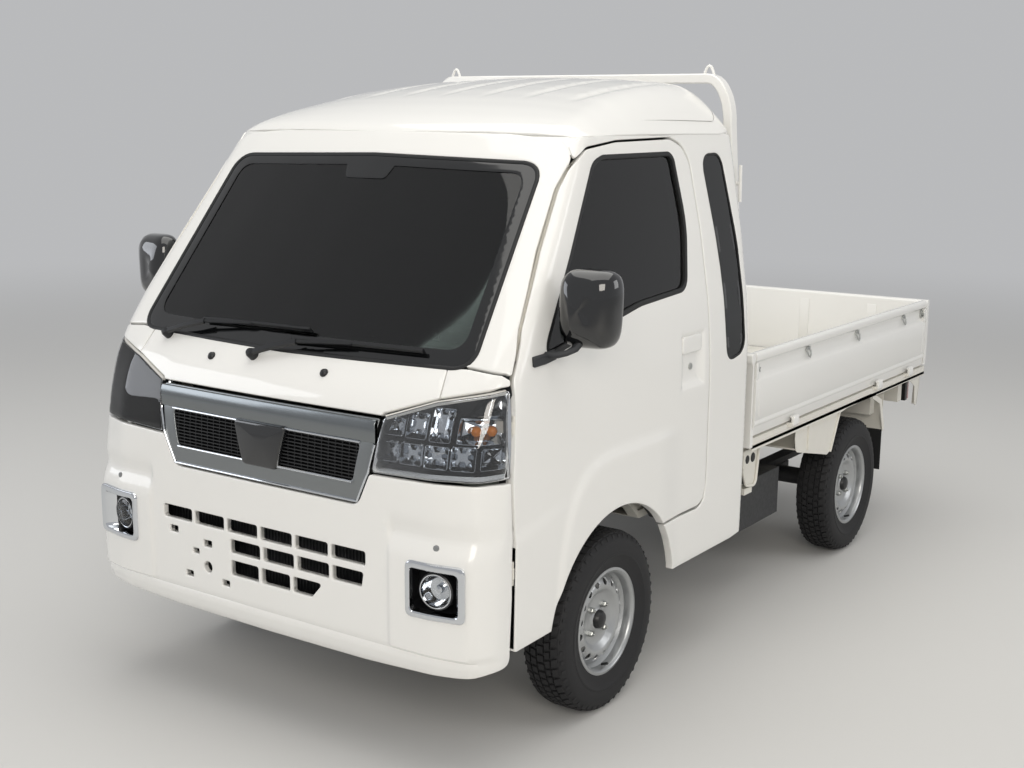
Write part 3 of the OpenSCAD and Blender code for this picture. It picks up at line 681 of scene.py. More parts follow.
# The swelling over the front wheel: its centre's height, and how far it reaches forwards and upwards.
SWELL_FOOT = 268
SWELL_U = 318
SWELL_Z = 522


def side_relief(u, z):
    """How far the side stands out: the swelling over the front wheel, the belt step and the handle dish."""
    forward = np.maximum(FRONT_WHEEL_U - u, 0) / SWELL_U
    upward = np.maximum(z - SWELL_FOOT, 0) / SWELL_Z
    reach = (forward ** 3 + upward ** 3) ** (1 / 3)
    swell = (1 - ramp(reach, 0.955, 1.03)) * (1 - ramp(u, 900, 1080))
    line = 655 + (u - 170) * 0.2
    belt = (1 - ramp(z, line - 22, line + 10)) * (1 - ramp(u, 300, 520))
    return 10 * swell + 4 * belt * (1 - swell)


def flank(u, z):
    """The left side's skin at u and z."""
    u = np.asarray(u, float)
    z = np.asarray(z, float)
    i = np.clip((z - Z_GRID[0]) / Z_STEP, 0, len(Z_GRID) - 1.001)
    i0 = i.astype(int)
    f = i - i0
    x = np.empty(u.shape)
    for row in np.unique(i0):
        here = i0 == row
        lower = np.interp(u[here], PLAN_U[row][15:], PLAN_X[row][15:])
        upper = np.interp(u[here], PLAN_U[row + 1][15:], PLAN_X[row + 1][15:])
        x[here] = lower * (1 - f[here]) + upper * f[here]
    back = ramp(u, CAB_BACK - 30, CAB_BACK + 1)
    return np.stack([x + side_relief(u, z) - 14 * back ** 2, u, z], -1)


# Roof line on the centre: u and z from the windscreen's head to the back.
ROOF_LINE = np.array([(480, 1570), (520, 1620), (548, 1652), (574, 1670), (640, 1703), (720, 1733),
                      (813, 1760), (920, 1783), (1050, 1803), (1200, 1820), (1330, 1830), (1430, 1832),
                      (1480, 1826), (1512, 1806), (1530, 1770), (1545, 1720)])


def soft_min(a, b, r):
    """The lower of two heights, blended where they are within r of each other."""
    h = np.clip(0.5 + 0.5 * (b - a) / r, 0, 1)
    return b * (1 - h) + a * h - r * h * (1 - h)


def roof_height(x, u):
    """Height of the high roof over a point of the plan."""
    ax = np.abs(x)
    line = np.interp(u, *ROOF_LINE.T)
    for shift in (12, 24):
        line = line + np.interp(u - shift, ROOF_LINE[:, 0], ROOF_LINE[:, 1])
        line = line + np.interp(u + shift, ROOF_LINE[:, 0], ROOF_LINE[:, 1])
    line = line / 5
    droop = 0.35 + 0.65 * ramp(u, 560, 900)
    crown = line + 7 - (26 * (ax / 600) ** 2 + 16 * (ax / 560) ** 6) * droop
    swept = np.interp(ax, [0, 352, 512, 608, 640], [0, 12, 24, 36, 50])
    nose = SCREEN_FOOT[1] + (u - SCREEN_FOOT[0] - swept) / SCREEN_LEAN
    half = np.interp(u, [480, 560, 700, 900, 1480, 1530], [628, 636, 641, 643, 643, 634])
    shoulder = 1662 + (half - ax) * 1.22
    height = soft_min(soft_min(crown, shoulder, 70), nose, 24)
    across = np.abs(((x / 152 + 0.5) % 1) - 0.5) * 152
    rib = (1 - ramp(across, 6, 20)) * ramp(u, 800, 960) * (1 - ramp(u, 1380, 1450)) * (1 - ramp(ax, 470, 500))
    return height - 5.0 * rib


def roof(x, u):
    return np.stack([x, u, roof_height(np.asarray(x, float), np.asarray(u, float))], -1)


# ---------------------------------------------------------------- the cab's panels

ARCH_Z = WHEEL_R
ARCH_R = 350


def arch_points(start, end, radius=ARCH_R, step=10):
    """Points of the front wheel arch between two angles in degrees, measured from straight back."""
    n = int(abs(math.radians(end - start)) * radius / step) + 2
    return [(FRONT_WHEEL_U + radius * math.cos(t), ARCH_Z + radius * math.sin(t))
            for t in np.radians(np.linspace(start, end, n))]


DOOR_TOP = [(1237, 900, 60), (1231, 1147, 200), (1222, 1387, 200), (1206, 1577, 70), (1168, 1627, 60),
            (1102, 1650, 80), (782, 1643, 200), (622, 1625, 60), (542, 1580, 120), (490, 1523, 200),
            (371, 1367, 300), (237, 1178, 160), (173, 1060, 60), (159, 800, 60), (170, 651, 60)]
DOOR_FOOT = [(170, 343, 12)]
DOOR_OUTLINE = rounded([(1237, 560, 60), *DOOR_TOP, *DOOR_FOOT,
                        *[(u, z, 0) for u, z in arch_points(167, 42.5)],
                        (1187, 505, 40), (1223, 520, 40)])
DOOR_GLASS_EDGE = rounded([(300, 1100, 26), (818, 1188, 300), (1097, 1205, 45), (1130, 1400, 300),
                           (1103, 1590, 30), (1080, 1602, 30), (700, 1598, 60), (647, 1583, 60)], 8)
DOOR_GLASS_EDGE = shrunk(DOOR_GLASS_EDGE, 2)
QUARTER_EDGE = rounded([(1290, 1596, 45), (1338, 1250, 160), (1359, 944, 45), (1489, 966, 50),
                        (1470, 1300, 160),
                        (1423, 1600, 45)], 8)
LAMP_EDGE = [(393, 807, 12), (717, 812, 40), (560, 1004, 90), (415, 953, 16)]


def front_loop(corners, step=9.0):
    """An outline on the front given by x and z corners, as distances round the plan."""
    return rounded([round_at(x=c[0], z=c[1]) + tuple(c[2:]) for c in corners], step)


def front_edge(z, gap):
    """Distance round the plan to the gap ahead of the door, at height z."""
    at = np.interp(z, [343, 651, 800, 1060, 1178, 1367, 1523, 1580, 1625],
                   [168, 168, 157, 173, 237, 371, 490, 542, 622])
    s, z = round_at(u=at, z=z)
    return (s - gap, z)


def bumper():
    """The painted bumper: one moulding up to the lamps, round the grille's foot and back to the doors."""
    half = [(0, 282, 300), (*round_at(x=360, z=284), 200), (*round_at(x=640, z=298), 60),
            (*front_edge(318, 6), 30)]
    half += [(*front_edge(z, 6), 60) for z in (500, 651, 740)] + [(*front_edge(803, 4), 6)]
    half += [(*round_at(x=717, z=806), 20), (*round_at(x=389, z=801), 10), (*round_at(x=347, z=712), 34)]
    return rounded(half + [(-s, z, r) for s, z, r in half[:0:-1]], 9)


def intake_cells():
    """The air intake's openings, as x and z corners: six wide cells above two shorter rows."""
    cells = []
    edges = np.linspace(-407, 378, 7)
    for a, b in zip(edges[:-1], edges[1:]):
        cells.append([(a + 6, 552, 7), (b - 6, 552, 7), (b - 6, 590, 7), (a + 6, 590, 7)])
    edges = np.linspace(-133, 378, 5)
    for a, b in zip(edges[:-1], edges[1:]):
        slant = 0 if b < 370 else 14
        cells.append([(a + 6, 492, 7), (b - 6 - slant, 492, 7), (b - 6 - slant * 0.5, 532, 7),
                      (a + 6, 532, 7)])
    edges = np.linspace(-133, 226, 4)
    for a, b in zip(edges[:-1], edges[1:]):
        slant = 0 if b < 220 else 40
        cells.append([(a + 6, 426, 7), (b - 6 - slant, 426, 7), (b - 6, 470, 7), (a + 6, 470, 7)])
    return cells


def front_bumper():
    """The bumper's skin with its intake, plate holes and lamp openings."""
    plate_holes = [(-360, 520, 17, 10), (-220, 500, 17, 10), (-270, 470, 13, 8), (-300, 396, 15, 9),
                   (-150, 396, 15, 9)]
    holes = [front_loop(c, 7) for c in intake_cells()]
    holes += [front_loop([(x - w, z - h, 3), (x + w, z - h, 3), (x + w, z + h, 3), (x - w, z + h, 3)], 5)
              for x, z, w, h in plate_holes]
    holes += [front_loop([(-222 + 17 * math.cos(t), 430 + 17 * math.sin(t), 0)
                          for t in turns(14)], 6)]
    for side in SIDES:
        holes.append(front_loop([(side * 516, 457, 14), (side * 681, 462, 14), (side * 681, 598, 14),
                                 (side * 516, 596, 14)], 7))
    # Rows of points hold the creases where the pods, the band and the lip turn.
    lines = []
    for z in (300, 338, 346, 356, 606, 622, 662, 670, 706, 724):
        lines += [(s, z) for s in np.arange(-900, 900, 10)]
    for x in (POD_EDGE - 9, POD_EDGE - 3, POD_EDGE + 3, POD_EDGE + 9):
        for z in np.arange(352, 700, 9):
            lines += [round_at(x=x, z=z), round_at(x=-x, z=z)]
    skin(wrap, bumper(), holes, 13, 3.5, 2.6, extra=np.array(lines), lip=14).build(
        "bumper_skin", ENAMEL, slot="white_paint", replaces=["front_bumper"], crease=40)


def hood_outline():
    """The panel over the lamps and the grille, up to the windscreen."""
    left = [(*round_at(x=409, z=953), 12), (*round_at(x=413, z=960), 8), (*round_at(x=560, z=1010), 90),
            (*round_at(x=706, z=1044), 12), (*front_edge(1046, 3), 6), (*front_edge(1063, 3), 12)]
    top = [(*round_at(x=700, z=1075), 16), (*round_at(x=608, z=1083), 60), (*round_at(x=300, z=1074), 300),
           (0, 1070, 300)]
    other = [(-s, z, r) for s, z, r in left + top[:-1]][::-1]
    return rounded(left + top + other, 9)


def front_panels():
    """The hood, which lifts between two seams, and the fixed corners outside them."""
    outline = hood_outline()
    seam = np.array([round_at(x=x, z=z) for x, z in ((562, 1014), (556, 1045), (548, 1086))])

    def side_of(p):
        return p[0] - np.interp(p[1], seam[:, 1], seam[:, 0])

    def cut(loop, keep):
        """Clips an outline against the seam: 1 keeps its left part and -1 the rest."""
        out = []
        for i in range(len(loop)):
            p, q = loop[i], loop[(i + 1) % len(loop)]
            a, b = side_of(p) * keep, side_of(q) * keep
            if a >= 0:
                out.append(p)
            if a * b < 0:
                out.append(p + (q - p) * a / (a - b))
        return np.array(out)
    corner = shrunk(cut(outline, 1), 1.5)
    centre = cut(outline, -1) * [-1, 1]
    centre = shrunk(cut(centre[::-1], -1), 1.5)
    crease = np.array([(s, z) for z in (1002, 1040, 1075) for s in np.arange(-760, 760, 14)])
    skin(wrap, centre, (), 13, 3, 1.2, extra=crease, lip=12).build(
        "hood_panel", ENAMEL, slot="white_paint", replaces=["front_panel"])
    corners = skin(wrap, corner, (), 12, 3, 1.2, lip=10)
    corners.both().build("hood_corners", ENAMEL, slot="white_paint")


def screen_surface(out):
    """The windscreen's plane as a surface of x and height up the slope."""
    tilt = math.atan(SCREEN_LEAN)

    def surface(x, up):
        x = np.asarray(x, float)
        up = np.asarray(up, float)
        z = SCREEN_FOOT[1] + up * math.cos(tilt)
        s = np.array([round_at(x=a, z=b)[0] for a, b in zip(x.ravel(), z.ravel())]).reshape(x.shape)
        bent = np.array([0, -math.cos(tilt), math.sin(tilt)]) * out
        return wrap(s, z) + bent
    return surface


SCREEN_CORNERS = [(-612, 26, 50), (0, 18, 500), (612, 26, 50), (566, 652, 60), (0, 668, 500), (-566, 652, 60)]


def windscreen():
    """The glass, its fired band and the rubber round it."""
    outline = rounded(SCREEN_CORNERS, 12)
    skin(screen_surface(-3), outline, (), 14, 0.8, 4.6).build(
        "windscreen_glass", SCREEN_GLASS, slot="glass", replaces=["windscreen"])
    # The fired black band on the glass, deepest along the foot, with the camera's patch at the head.
    inner = rounded([(-572, 74, 46), (0, 66, 500), (572, 74, 46), (532, 622, 46), (90, 634, 0), (74, 588, 16),
                     (-74, 588, 16), (-90, 634, 0), (-532, 622, 46)], 12)
    skin(screen_surface(-0.8), outline, [inner], 14, 0.3, 0.7).build("windscreen_frit", FRIT)
    seal = Shape()
    ring = shrunk(rounded(SCREEN_CORNERS, 12), -4)
    surface = screen_surface(0)
    path = surface(ring[:, 0], ring[:, 1])
    seal.sweep(path, [(-5.5, -5), (5.5, -5), (5.5, 0.5), (3, 2), (-3, 2), (-5.5, 0.5)], closed=True,
               up=(0, -math.cos(math.atan(SCREEN_LEAN)), math.sin(math.atan(SCREEN_LEAN))))
    seal.build("windscreen_seal", SEAL_RUBBER)


def pillar_frame():
    """The painted frame round the windscreen: both A-posts and the header, left of the doors' front edges."""
    opening = shrunk(rounded(SCREEN_CORNERS, 10), -9.5)
    surface = screen_surface(0)
    edge = surface(opening[:, 0], opening[:, 1])
    s_open = np.array([round_at(x=p[0], z=p[2]) for p in edge])
    left = [(*front_edge(1070, 3), 6)]
    left += [(*front_edge(z, 3), 60)
             for z in (1120, 1178, 1270, 1367, 1450, 1523)] + [(*front_edge(1574, 3), 12)]
    head = [(*round_at(x=640, z=1600), 60), (*round_at(x=590, z=1650), 60), (*round_at(x=420, z=1662), 200),
            (0, 1664, 300)]
    foot = [(*round_at(x=706, z=1078), 16), (*round_at(x=612, z=1087), 60), (*round_at(x=300, z=1078), 300),
            (0, 1074, 300)]
    loop = left + head + [(-s, z, r) for s, z, r in (left + head[:-1])[::-1]]
    loop += [(-s, z, r) for s, z, r in foot[:-1]] + [foot[-1]] + foot[:-1][::-1]
    outline = rounded(loop, 9)
    skin(wrap, outline, [s_open[::-1] if signed_area(s_open) < 0 else s_open], 13, 3, 1.4, lip=16).build(
        "windscreen_surround", ENAMEL, slot="white_paint", replaces=["windscreen_frame"])


def cab_roof():
    """The high roof: from the windscreen's head over the doors to the back."""
    w = 640
    head = [(x, wrap(*round_at(x=x, z=z))[1] + 5, r) for x, z, r in ((0, 1664, 300), (420, 1662, 200),
                                                                    (560, 1655, 80), (628, 1640, 30))]
    half = head + [(w + 1, 700, 100), (w + 3, 900, 200), (w + 3, 1440, 0), (w - 6, 1526, 40)]
    outline = rounded(half + [(-x, u, r) for x, u, r in half[:0:-1]], 14)
    ribs = []
    for k in range(-3, 4):
        for side in (-22, -13, -5, 5, 13, 22):
            x = 152 * k + side
            if abs(x) < 520:
                ribs += [(x, u) for u in np.arange(800, 1470, 20)]
    skin(roof, outline, (), 17, 2.5, 1.4, extra=np.array(ribs), lip=10).build(
        "roof_skin", ENAMEL, slot="white_paint", replaces=["roof_panel"], crease=50)


def cant_rails():
    """The painted strip between each door's top and the roof, from the windscreen's corner back."""
    top = [(1300, 1658.5, 0), (1102, 1658.5, 0), (700, 1657, 100), (604, 1652, 10), (572, 1630, 10)]
    low = [(560, 1596, 10), (622, 1629, 60), (788, 1646.5, 200), (1102, 1653.5, 60)]
    outline = rounded(top + low, 9)
    strip = skin(flank, outline, (), 12, 1.6, 1.4, lip=8)
    # A plate behind the corner closes the joint of header, roof and door.
    corner = rounded([(505, 1590, 10), (600, 1618, 20), (650, 1640, 10), (650, 1655, 6), (548, 1655, 20)], 9)
    strip.merge(skin(flank_at(6), corner, (), 12, 1, 1.4))
    strip.both().build("cant_rails", ENAMEL, slot="white_paint")


def door_skins():
    """Each door's outer skin, with its window opening and the dish under the handle."""
    window = shrunk(DOOR_GLASS_EDGE, -8)
    outer = shrunk(DOOR_OUTLINE, 3)
    ring = []
    for k in (0.95, 0.98, 1.005, 1.03):
        for t in np.linspace(0.02, math.pi / 2, 50):
            c, s = math.cos(t) ** (2 / 3), math.sin(t) ** (2 / 3)
            ring.append((FRONT_WHEEL_U - SWELL_U * k * c, SWELL_FOOT + SWELL_Z * k * s))
        ring += [(u, SWELL_FOOT + SWELL_Z * k) for u in np.arange(700, 1010, 12)]
    dish = rounded([(1046, 893, 30), (1206, 893, 30), (1206, 1073, 30), (1046, 1073, 30)], 8)
    cup = [shrunk(dish, d) for d in (0, 4, 10, 20, 34)]
    extra = np.array(ring + [tuple(p) for c in cup for p in c])

    def surface(u, z):
        points = flank(u, z)
        lu = np.minimum(np.asarray(u) - 1046, 1206 - np.asarray(u))
        lz = np.minimum(np.asarray(z) - 893, 1073 - np.asarray(z))
        depth = ramp(np.minimum(lu, lz), 0, 34)
        points[..., 0] -= 15 * depth
        return points

    for side in SIDES:
        shape = skin(surface, outer, [window], 13, 3.2, 1.4, extra=extra, lip=22)
        name = "door_" + SIDE_NAME[side]
        shape.on_side(side).build(
            name + "_skin", ENAMEL, body=name, slot="white_paint", replaces=[name])


def flank_at(deep):
    """The side's skin moved straight inwards."""
    return lambda u, z: flank(u, z) - [deep, 0, 0]


def door_windows():
    """Each door's pane and its rubber."""
    for side in SIDES:
        name = "door_" + SIDE_NAME[side]
        glass = skin(flank_at(9), shrunk(DOOR_GLASS_EDGE, -14), (), 30, 0.5, 4.2)
        seal = Shape()
        ring = shrunk(DOOR_GLASS_EDGE, -4)
        path = flank_at(3)(*ring.T)
        seal.sweep(path, [(-7, -6), (7, -6), (7, 2.5), (3, 4.5), (-4, 4.5), (-7, 2)], closed=True,
                   up=(1, 0, 0.15))
        glass.on_side(side).build(name + "_window", DOOR_GLASS, body=name, slot="glass",
                    replaces=["door_glass_" + SIDE_NAME[side]])
        seal.on_side(side).build(name + "_window_seal", SEAL_RUBBER, body=name)


def quarter_skins():
    """The cab's side behind each door, its sill and its post, with the dark quarter window."""
    outer = [(1240, 566, 60), (1240, 900, 60), (1234, 1147, 200), (1225, 1387, 200), (1209, 1580, 70),
             (1171, 1630, 60), (1102, 1653.5, 80), (1102, 1660, 0), (1300, 1664, 40), (1470, 1664, 80),
             (1521, 1656, 14), (1527, 1600, 40), (1527, 600, 0), (1527, 345, 30), (1440, 337, 30),
             (1100, 337, 0)]
    arch = [(u, z, 0) for u, z in arch_points(14, 41.5, ARCH_R + 1)]
    loop = outer + [(1030, 337, 12)] + arch + [(1184, 499, 40), (1226, 512, 40)]
    outline = shrunk(rounded(loop, 10), 0.5)
    window = shrunk(QUARTER_EDGE, -4)

    for side in SIDES:
        shape = skin(flank, outline, [window], 13, 3, 1.4, lip=20)
        pane = skin(flank_at(6), shrunk(QUARTER_EDGE, 3), (), 24, 0.8, 4)
        frit = skin(flank_at(5.2), shrunk(QUARTER_EDGE, 2.5), [shrunk(QUARTER_EDGE, 24)], 14, 0.3, 0.6)
        seal = Shape()
        ring = shrunk(QUARTER_EDGE, -0.5)
        seal.sweep(flank_at(3)(*ring.T), [(-3.5, -6), (3.5, -6), (3.5, 1), (1, 2.5), (-1, 2.5), (-3.5, 1)],
                   closed=True, up=(1, 0, 0.1))
        name = SIDE_NAME[side]
        for part, label, mat, slot, nodes in (
                (shape, "skin", ENAMEL, "white_paint", ["quarter_panel_" + name]),
                (pane, "window", DARK_GLASS, "glass", ()), (frit, "frit", FRIT, None, ()),
                (seal, "seal", SEAL_RUBBER, None, ())):
            part.on_side(side).build("quarter_%s_%s" % (name, label), mat, slot=slot, replaces=nodes)


# ---------------------------------------------------------------- lamps, grille and mirrors


def lamp_loop():
    """The headlight's outline round the corner of the cab, from the grille to the door."""
    inner, foot, brow, top = [(*round_at(x=x, z=z), r) for x, z, r in LAMP_EDGE]
    return rounded([inner, foot, (*front_edge(814, 5), 8), (*front_edge(1041, 5), 10),
                    (*round_at(x=712, z=1037), 10), brow, top], 8)


def at_depth(deep):
    """The front's skin moved back into the cab."""
    return lambda s, z: wrap(s, z, deep)


def pocket(shape, loop, depths, paint=0, cap=True):
    """Walls that follow an outline inwards: depths is a list of (shrink, depth); cap closes the bottom."""
    rings = [at_depth(d)(*shrunk(loop, k).T) for k, d in depths]
    shape.rings([list(map(tuple, r)) for r in rings], paint, caps=False)
    if cap:
        n = len(loop)
        first = len(shape.points) - n
        middle = len(shape.points)
        shape.points.append(tuple(np.mean(rings[-1], 0)))
        for i in range(n):
            shape.faces.append((middle, first + i, first + (i + 1) % n))
            shape.paint.append(paint)


def headlights():
    """Clear lenses over housings with chrome bowls, amber bulbs and strips."""
    loop = shrunk(lamp_loop(), 2.5)
    lens = skin(wrap, loop, (), 14, 2.5, 2.4)
    lens.both().build("lamp_lenses", LENS, slot="lamp", replaces=["headlights"])
    housing = Shape()
    pocket(housing, loop, [(0.5, 2.6), (1.5, 2.7), (4, 12), (10, 62), (14, 66)], 0)
    # Reflector bowls in two rows: chrome cells with a dark slot between the rows.
    cells = [(412, 470, 905, 950), (480, 545, 903, 968), (555, 618, 901, 985),
             (398, 462, 838, 888), (470, 540, 836, 890), (548, 618, 834, 892), (626, 690, 834, 894)]
    for x0, x1, z0, z1 in cells:
        s0, s1 = round_at(x=x0, z=z0)[0], round_at(x=x1, z=z0)[0]
        slope = round_at(x=x0, z=z1)[0] - s0
        box = rounded([(s0, z0, 6), (s1, z0, 6), (s1 + slope, z1, 6), (s0 + slope, z1, 6)], 6)
        pocket(housing, box, [(-3, 26), (0, 22), (1, 22), (4, 30), (9, 42), (16, 50), (19, 44), (20, 42)], 1)
    for x0, z0, z1 in ((700, 838, 892), (634, 902, 966), (700, 972, 1022)):
        s1 = front_edge(z0, 24)[0]
        s0 = round_at(x=x0, z=z0)[0]
        box = rounded([(s0, z0, 6), (s1, z0, 6), (s1, z1, 6), (s0, z1, 6)], 6)
        pocket(housing, box, [(-3, 24), (0, 18), (1, 18), (5, 32), (10, 38), (15, 40)], 1)
    for x, z in ((682, 934), (712, 934)):
        housing.lathe([(0, 15), (7, 13), (12, 8), (14, 0), (12, -8), (7, -13)], wrap(*round_at(x=x, z=z), 26),
                      (0.5, -0.8, 0), 2, 24)
    # The white brow along the top edge and the chrome strips below and outboard.
    top = np.array([round_at(x=x, z=z) for x, z in ((421, 950), (560, 997), (640, 1014), (704, 1029))]
                   + [front_edge(1032, 20)])
    low = np.array([round_at(x=x, z=z)
                    for x, z in ((400, 816), (560, 818), (700, 821))] + [front_edge(823, 14)])
    for line, paint, wide in ((top, 3, 6), (low, 1, 8)):
        s = np.linspace(line[0, 0], line[-1, 0], 26)
        z = np.interp(s, line[:, 0], line[:, 1])
        path = wrap(s, z, 10)
        housing.sweep(path, [(-4, -wide), (6, -wide), (6, wide), (-4, wide)], paint)
    side = [front_edge(z, 15) for z in np.linspace(826, 1028, 14)]
    housing.sweep(wrap(*np.array(side).T, 12), flat_bar(5, 5), 1, up=(0.6, -0.8, 0))
    housing.both().build("lamp_housings", [BLACK_PLASTIC, CHROME, AMBER, CLEAR_LENS], crease=30)


def grille():
    """The satin frame, its dark mesh, bright edges and the bare holder in the middle."""
    loop = front_loop([(-343, 716, 30), (343, 716, 30), (386, 806, 14), (408, 948, 10), (-408, 948, 10),
                       (-386, 806, 14)], 8)
    loop = shrunk(loop, 2)
    plate = skin(at_depth(3), loop, [front_loop([(-330, 775, 12), (330, 775, 12), (352, 876, 10),
                                                 (-352, 876, 10)], 8)], 14, 3, 2, lip=18)
    plate.build("grille_frame", SATIN_CHROME, slot="chrome_trim", replaces=["grille"])
    back = Shape()
    pocket(back, front_loop([(-336, 770, 8), (336, 770, 8), (357, 880, 8), (-357, 880, 8)], 10),
           [(0, 5), (1, 26), (2, 28)])
    for z in np.arange(781, 876, 9.4):
        w = 330 + (z - 775) * 0.215
        s = np.linspace(-round_at(x=w, z=z)[0], round_at(x=w, z=z)[0], 40)
        back.sweep(wrap(s, z + 0 * s, 12), flat_bar(7, 1.6))
    for x in np.arange(-336, 337, 24):
        path = [wrap(*round_at(x=x, z=z), 14) for z in (776, 825, 874)]
        back.sweep(path, flat_bar(1.4, 4), up=(0, 1, 0))
    back.build("grille_mesh", BLACK_PLASTIC)
    bar = Shape()
    s = np.linspace(-round_at(x=402, z=912)[0], round_at(x=402, z=912)[0], 60)
    bar.sweep(wrap(s, 912 + 0 * s, 2), [(-5, -30), (4, -32), (8, -26), (9, 20), (3, 31), (-5, 31)])
    bar.build("grille_top_bar", SMOKED_CHROME, slot="chrome_trim", bevel=1.5)
    edge = Shape()
    for path in ([(-345, 722), (345, 722)], [(345, 722), (385, 806), (402, 880)],
                 [(-345, 722), (-385, 806), (-402, 880)], [(-352, 880), (352, 880)],
                 [(-330, 772), (330, 772)]):
        path = np.array(path, float)
        run = np.concatenate([[0], np.cumsum(np.hypot(*np.diff(path, axis=0).T))])
        t = np.linspace(0, run[-1], 40)
        pts = [round_at(x=np.interp(k, run, path[:, 0]), z=np.interp(k, run, path[:, 1])) for k in t]
        edge.tube(wrap(*np.array(pts).T, 1.5), 3.2, sides=10)
    edge.build("grille_bright_edges", CHROME, slot="chrome_trim")
    # The bare holder in the middle, where a maker would fix an emblem.
    holder = Shape()
    box = front_loop([(-62, 762, 14), (62, 762, 14), (98, 884, 10), (-98, 884, 10)], 8)
    pocket(holder, box, [(-2, 14), (0, -2), (3, -6), (8, -7)])
    holder.build("grille_centre", PIANO_BLACK, slot="gloss_black")


def fog_lamps():
    """The round lamps in the bumper, their chrome bezels, and the sensors above them."""
    bezel, box, lamp, lens = Shape(), Shape(), Shape(), Shape()
    outer = front_loop([(512, 452, 18), (686, 456, 18), (686, 604, 18), (512, 602, 18)], 7)
    inner = front_loop([(526, 468, 12), (664, 470, 12), (664, 582, 12), (526, 582, 12)], 7)
    rings = []
    for k, deep in ((0, 4), (0, -4), (2, -7), (5, -8)):
        rings.append([tuple(p) for p in wrap(*shrunk(outer, k).T, deep)])
    inner_loop = np.array([inner[np.argmin(np.sum((inner - p) ** 2, 1))] for p in outer])
    for k, deep in ((-3, -7), (0, -4), (0, 22)):
        rings.append([tuple(p) for p in wrap(*shrunk_like(inner_loop, inner, k).T, deep)])
    bezel.rings(rings, caps=False)
    pocket(box, inner, [(-1, 18), (0, 20), (2, 66), (3, 68)])
    centre = wrap(*round_at(x=596, z=524))
    ahead = Vector((0.16, -1, 0))
    lamp.lathe([(0, -50), (30, -46), (40, -30), (43, -16), (46, -16), (46, -22)], centre, ahead, 0)
    lamp.lathe([(0, -34), (9, -36), (12, -42), (12, -52)], centre, ahead, 0, steps=24)
    lens.lathe([(0, -9), (20, -10), (38, -14), (44, -19), (44, -22)], centre, ahead, 0)
    box.lathe([(46, -60), (50, -58), (50, -18), (46, -15)], centre, ahead, 0)
    sensor = Shape()
    sensor.lathe([(0, 2.5), (7, 2), (9, 0), (9, -4)], wrap(*round_at(x=600, z=640)), ahead, 0, steps=24)
    for shape, name, mat, slot in ((bezel, "fog_lamp_bezels", CHROME, "chrome_trim"),
                                   (box, "fog_lamp_boxes", BLACK_PLASTIC, None),
                                   (lamp, "fog_lamp_bowls", CHROME, None),
                                   (lens, "fog_lamp_lenses", LENS, "lamp"),
                                   (sensor, "parking_sensors", GREY_PLASTIC, None)):
        shape.both().build(name, mat, slot=slot, crease=32)


def shrunk_like(points, loop, d):
    """Points taken from an outline, moved as the outline moves."""
    moved = shrunk(loop, d)
    return np.array([moved[np.argmin(np.sum((loop - p) ** 2, 1))] for p in points])


def door_mirrors():
    """Each door's mirror: a hollow housing, its arm and its glass."""
    low, high = node_box("mirror_left")
    for side in SIDES:
        name = SIDE_NAME[side]
        house = Shape()
        x0, x1 = high[0] - 160, high[0] - 2
        z0, z1 = low[2] + 28, high[2] - 2
        cx, cz, hx, hz = (x0 + x1) / 2, (z0 + z1) / 2, (x1 - x0) / 2, (z1 - z0) / 2
        rings = []
        for u, k, lean in ((336, 0.08, 8), (337, 0.35, 7), (341, 0.62, 5), (349, 0.8, 3), (362, 0.93, 1),
                           (380, 0.99, 0), (400, 1, 0), (412, 0.98, 0), (415, 0.96, 0), (413, 0.94, 0),
                           (404, 0.93, 0)):
            ring = []
            for t in turns(72):
                c, s = math.cos(t), math.sin(t)
                px = math.copysign(abs(c) ** 0.52, c)
                pz = math.copysign(abs(s) ** 0.46, s)
                narrow = 1 - 0.10 * (1 - pz) / 2 * (px > 0)
                sweep = 10 if k > 0.9 else 5
                ring.append((cx + px * hx * k * narrow - lean, u + px * sweep, cz + pz * hz * k))
            rings.append(ring)
        house.rings(rings, 0)
        arm = Shape()
        arm.sweep([(724, 322, 1106), (752, 326, 1108), (775, 338, 1114), (790, 352, 1124), (796, 366, 1142)],
                  [(-17, -8), (17, -8), (20, 0), (15, 8), (-15, 8), (-20, 0)], 0, up=(0, 0.2, 1))
        arm.sweep([(730, 250, 1096), (731, 300, 1098), (730, 352, 1104)],
                  [(-9, -9), (7, -13), (9, 10), (-3, 16)], 0, up=(0, 0, 1))
        glass = Shape()
        glass.rings([[tuple(np.add(p, (0, 4 - d, 0))) for p in rings[-1]] for d in (0, 4)], 0)
        glass.points = [(cx + (x - cx) * 0.985, u, cz + (z - cz) * 0.985) for x, u, z in glass.points]
        body = "door_" + name
        house.on_side(side).build("mirror_%s_housing" % name, PIANO_BLACK, body=body, slot="gloss_black",
                    replaces=["mirror_" + name], crease=50)
        arm.on_side(side).build("mirror_%s_arm" % name, DASH_PLASTIC, body=body, bevel=3, crease=50)
        glass.on_side(side).build("mirror_%s_glass" % name, MIRROR_GLASS, body=body)


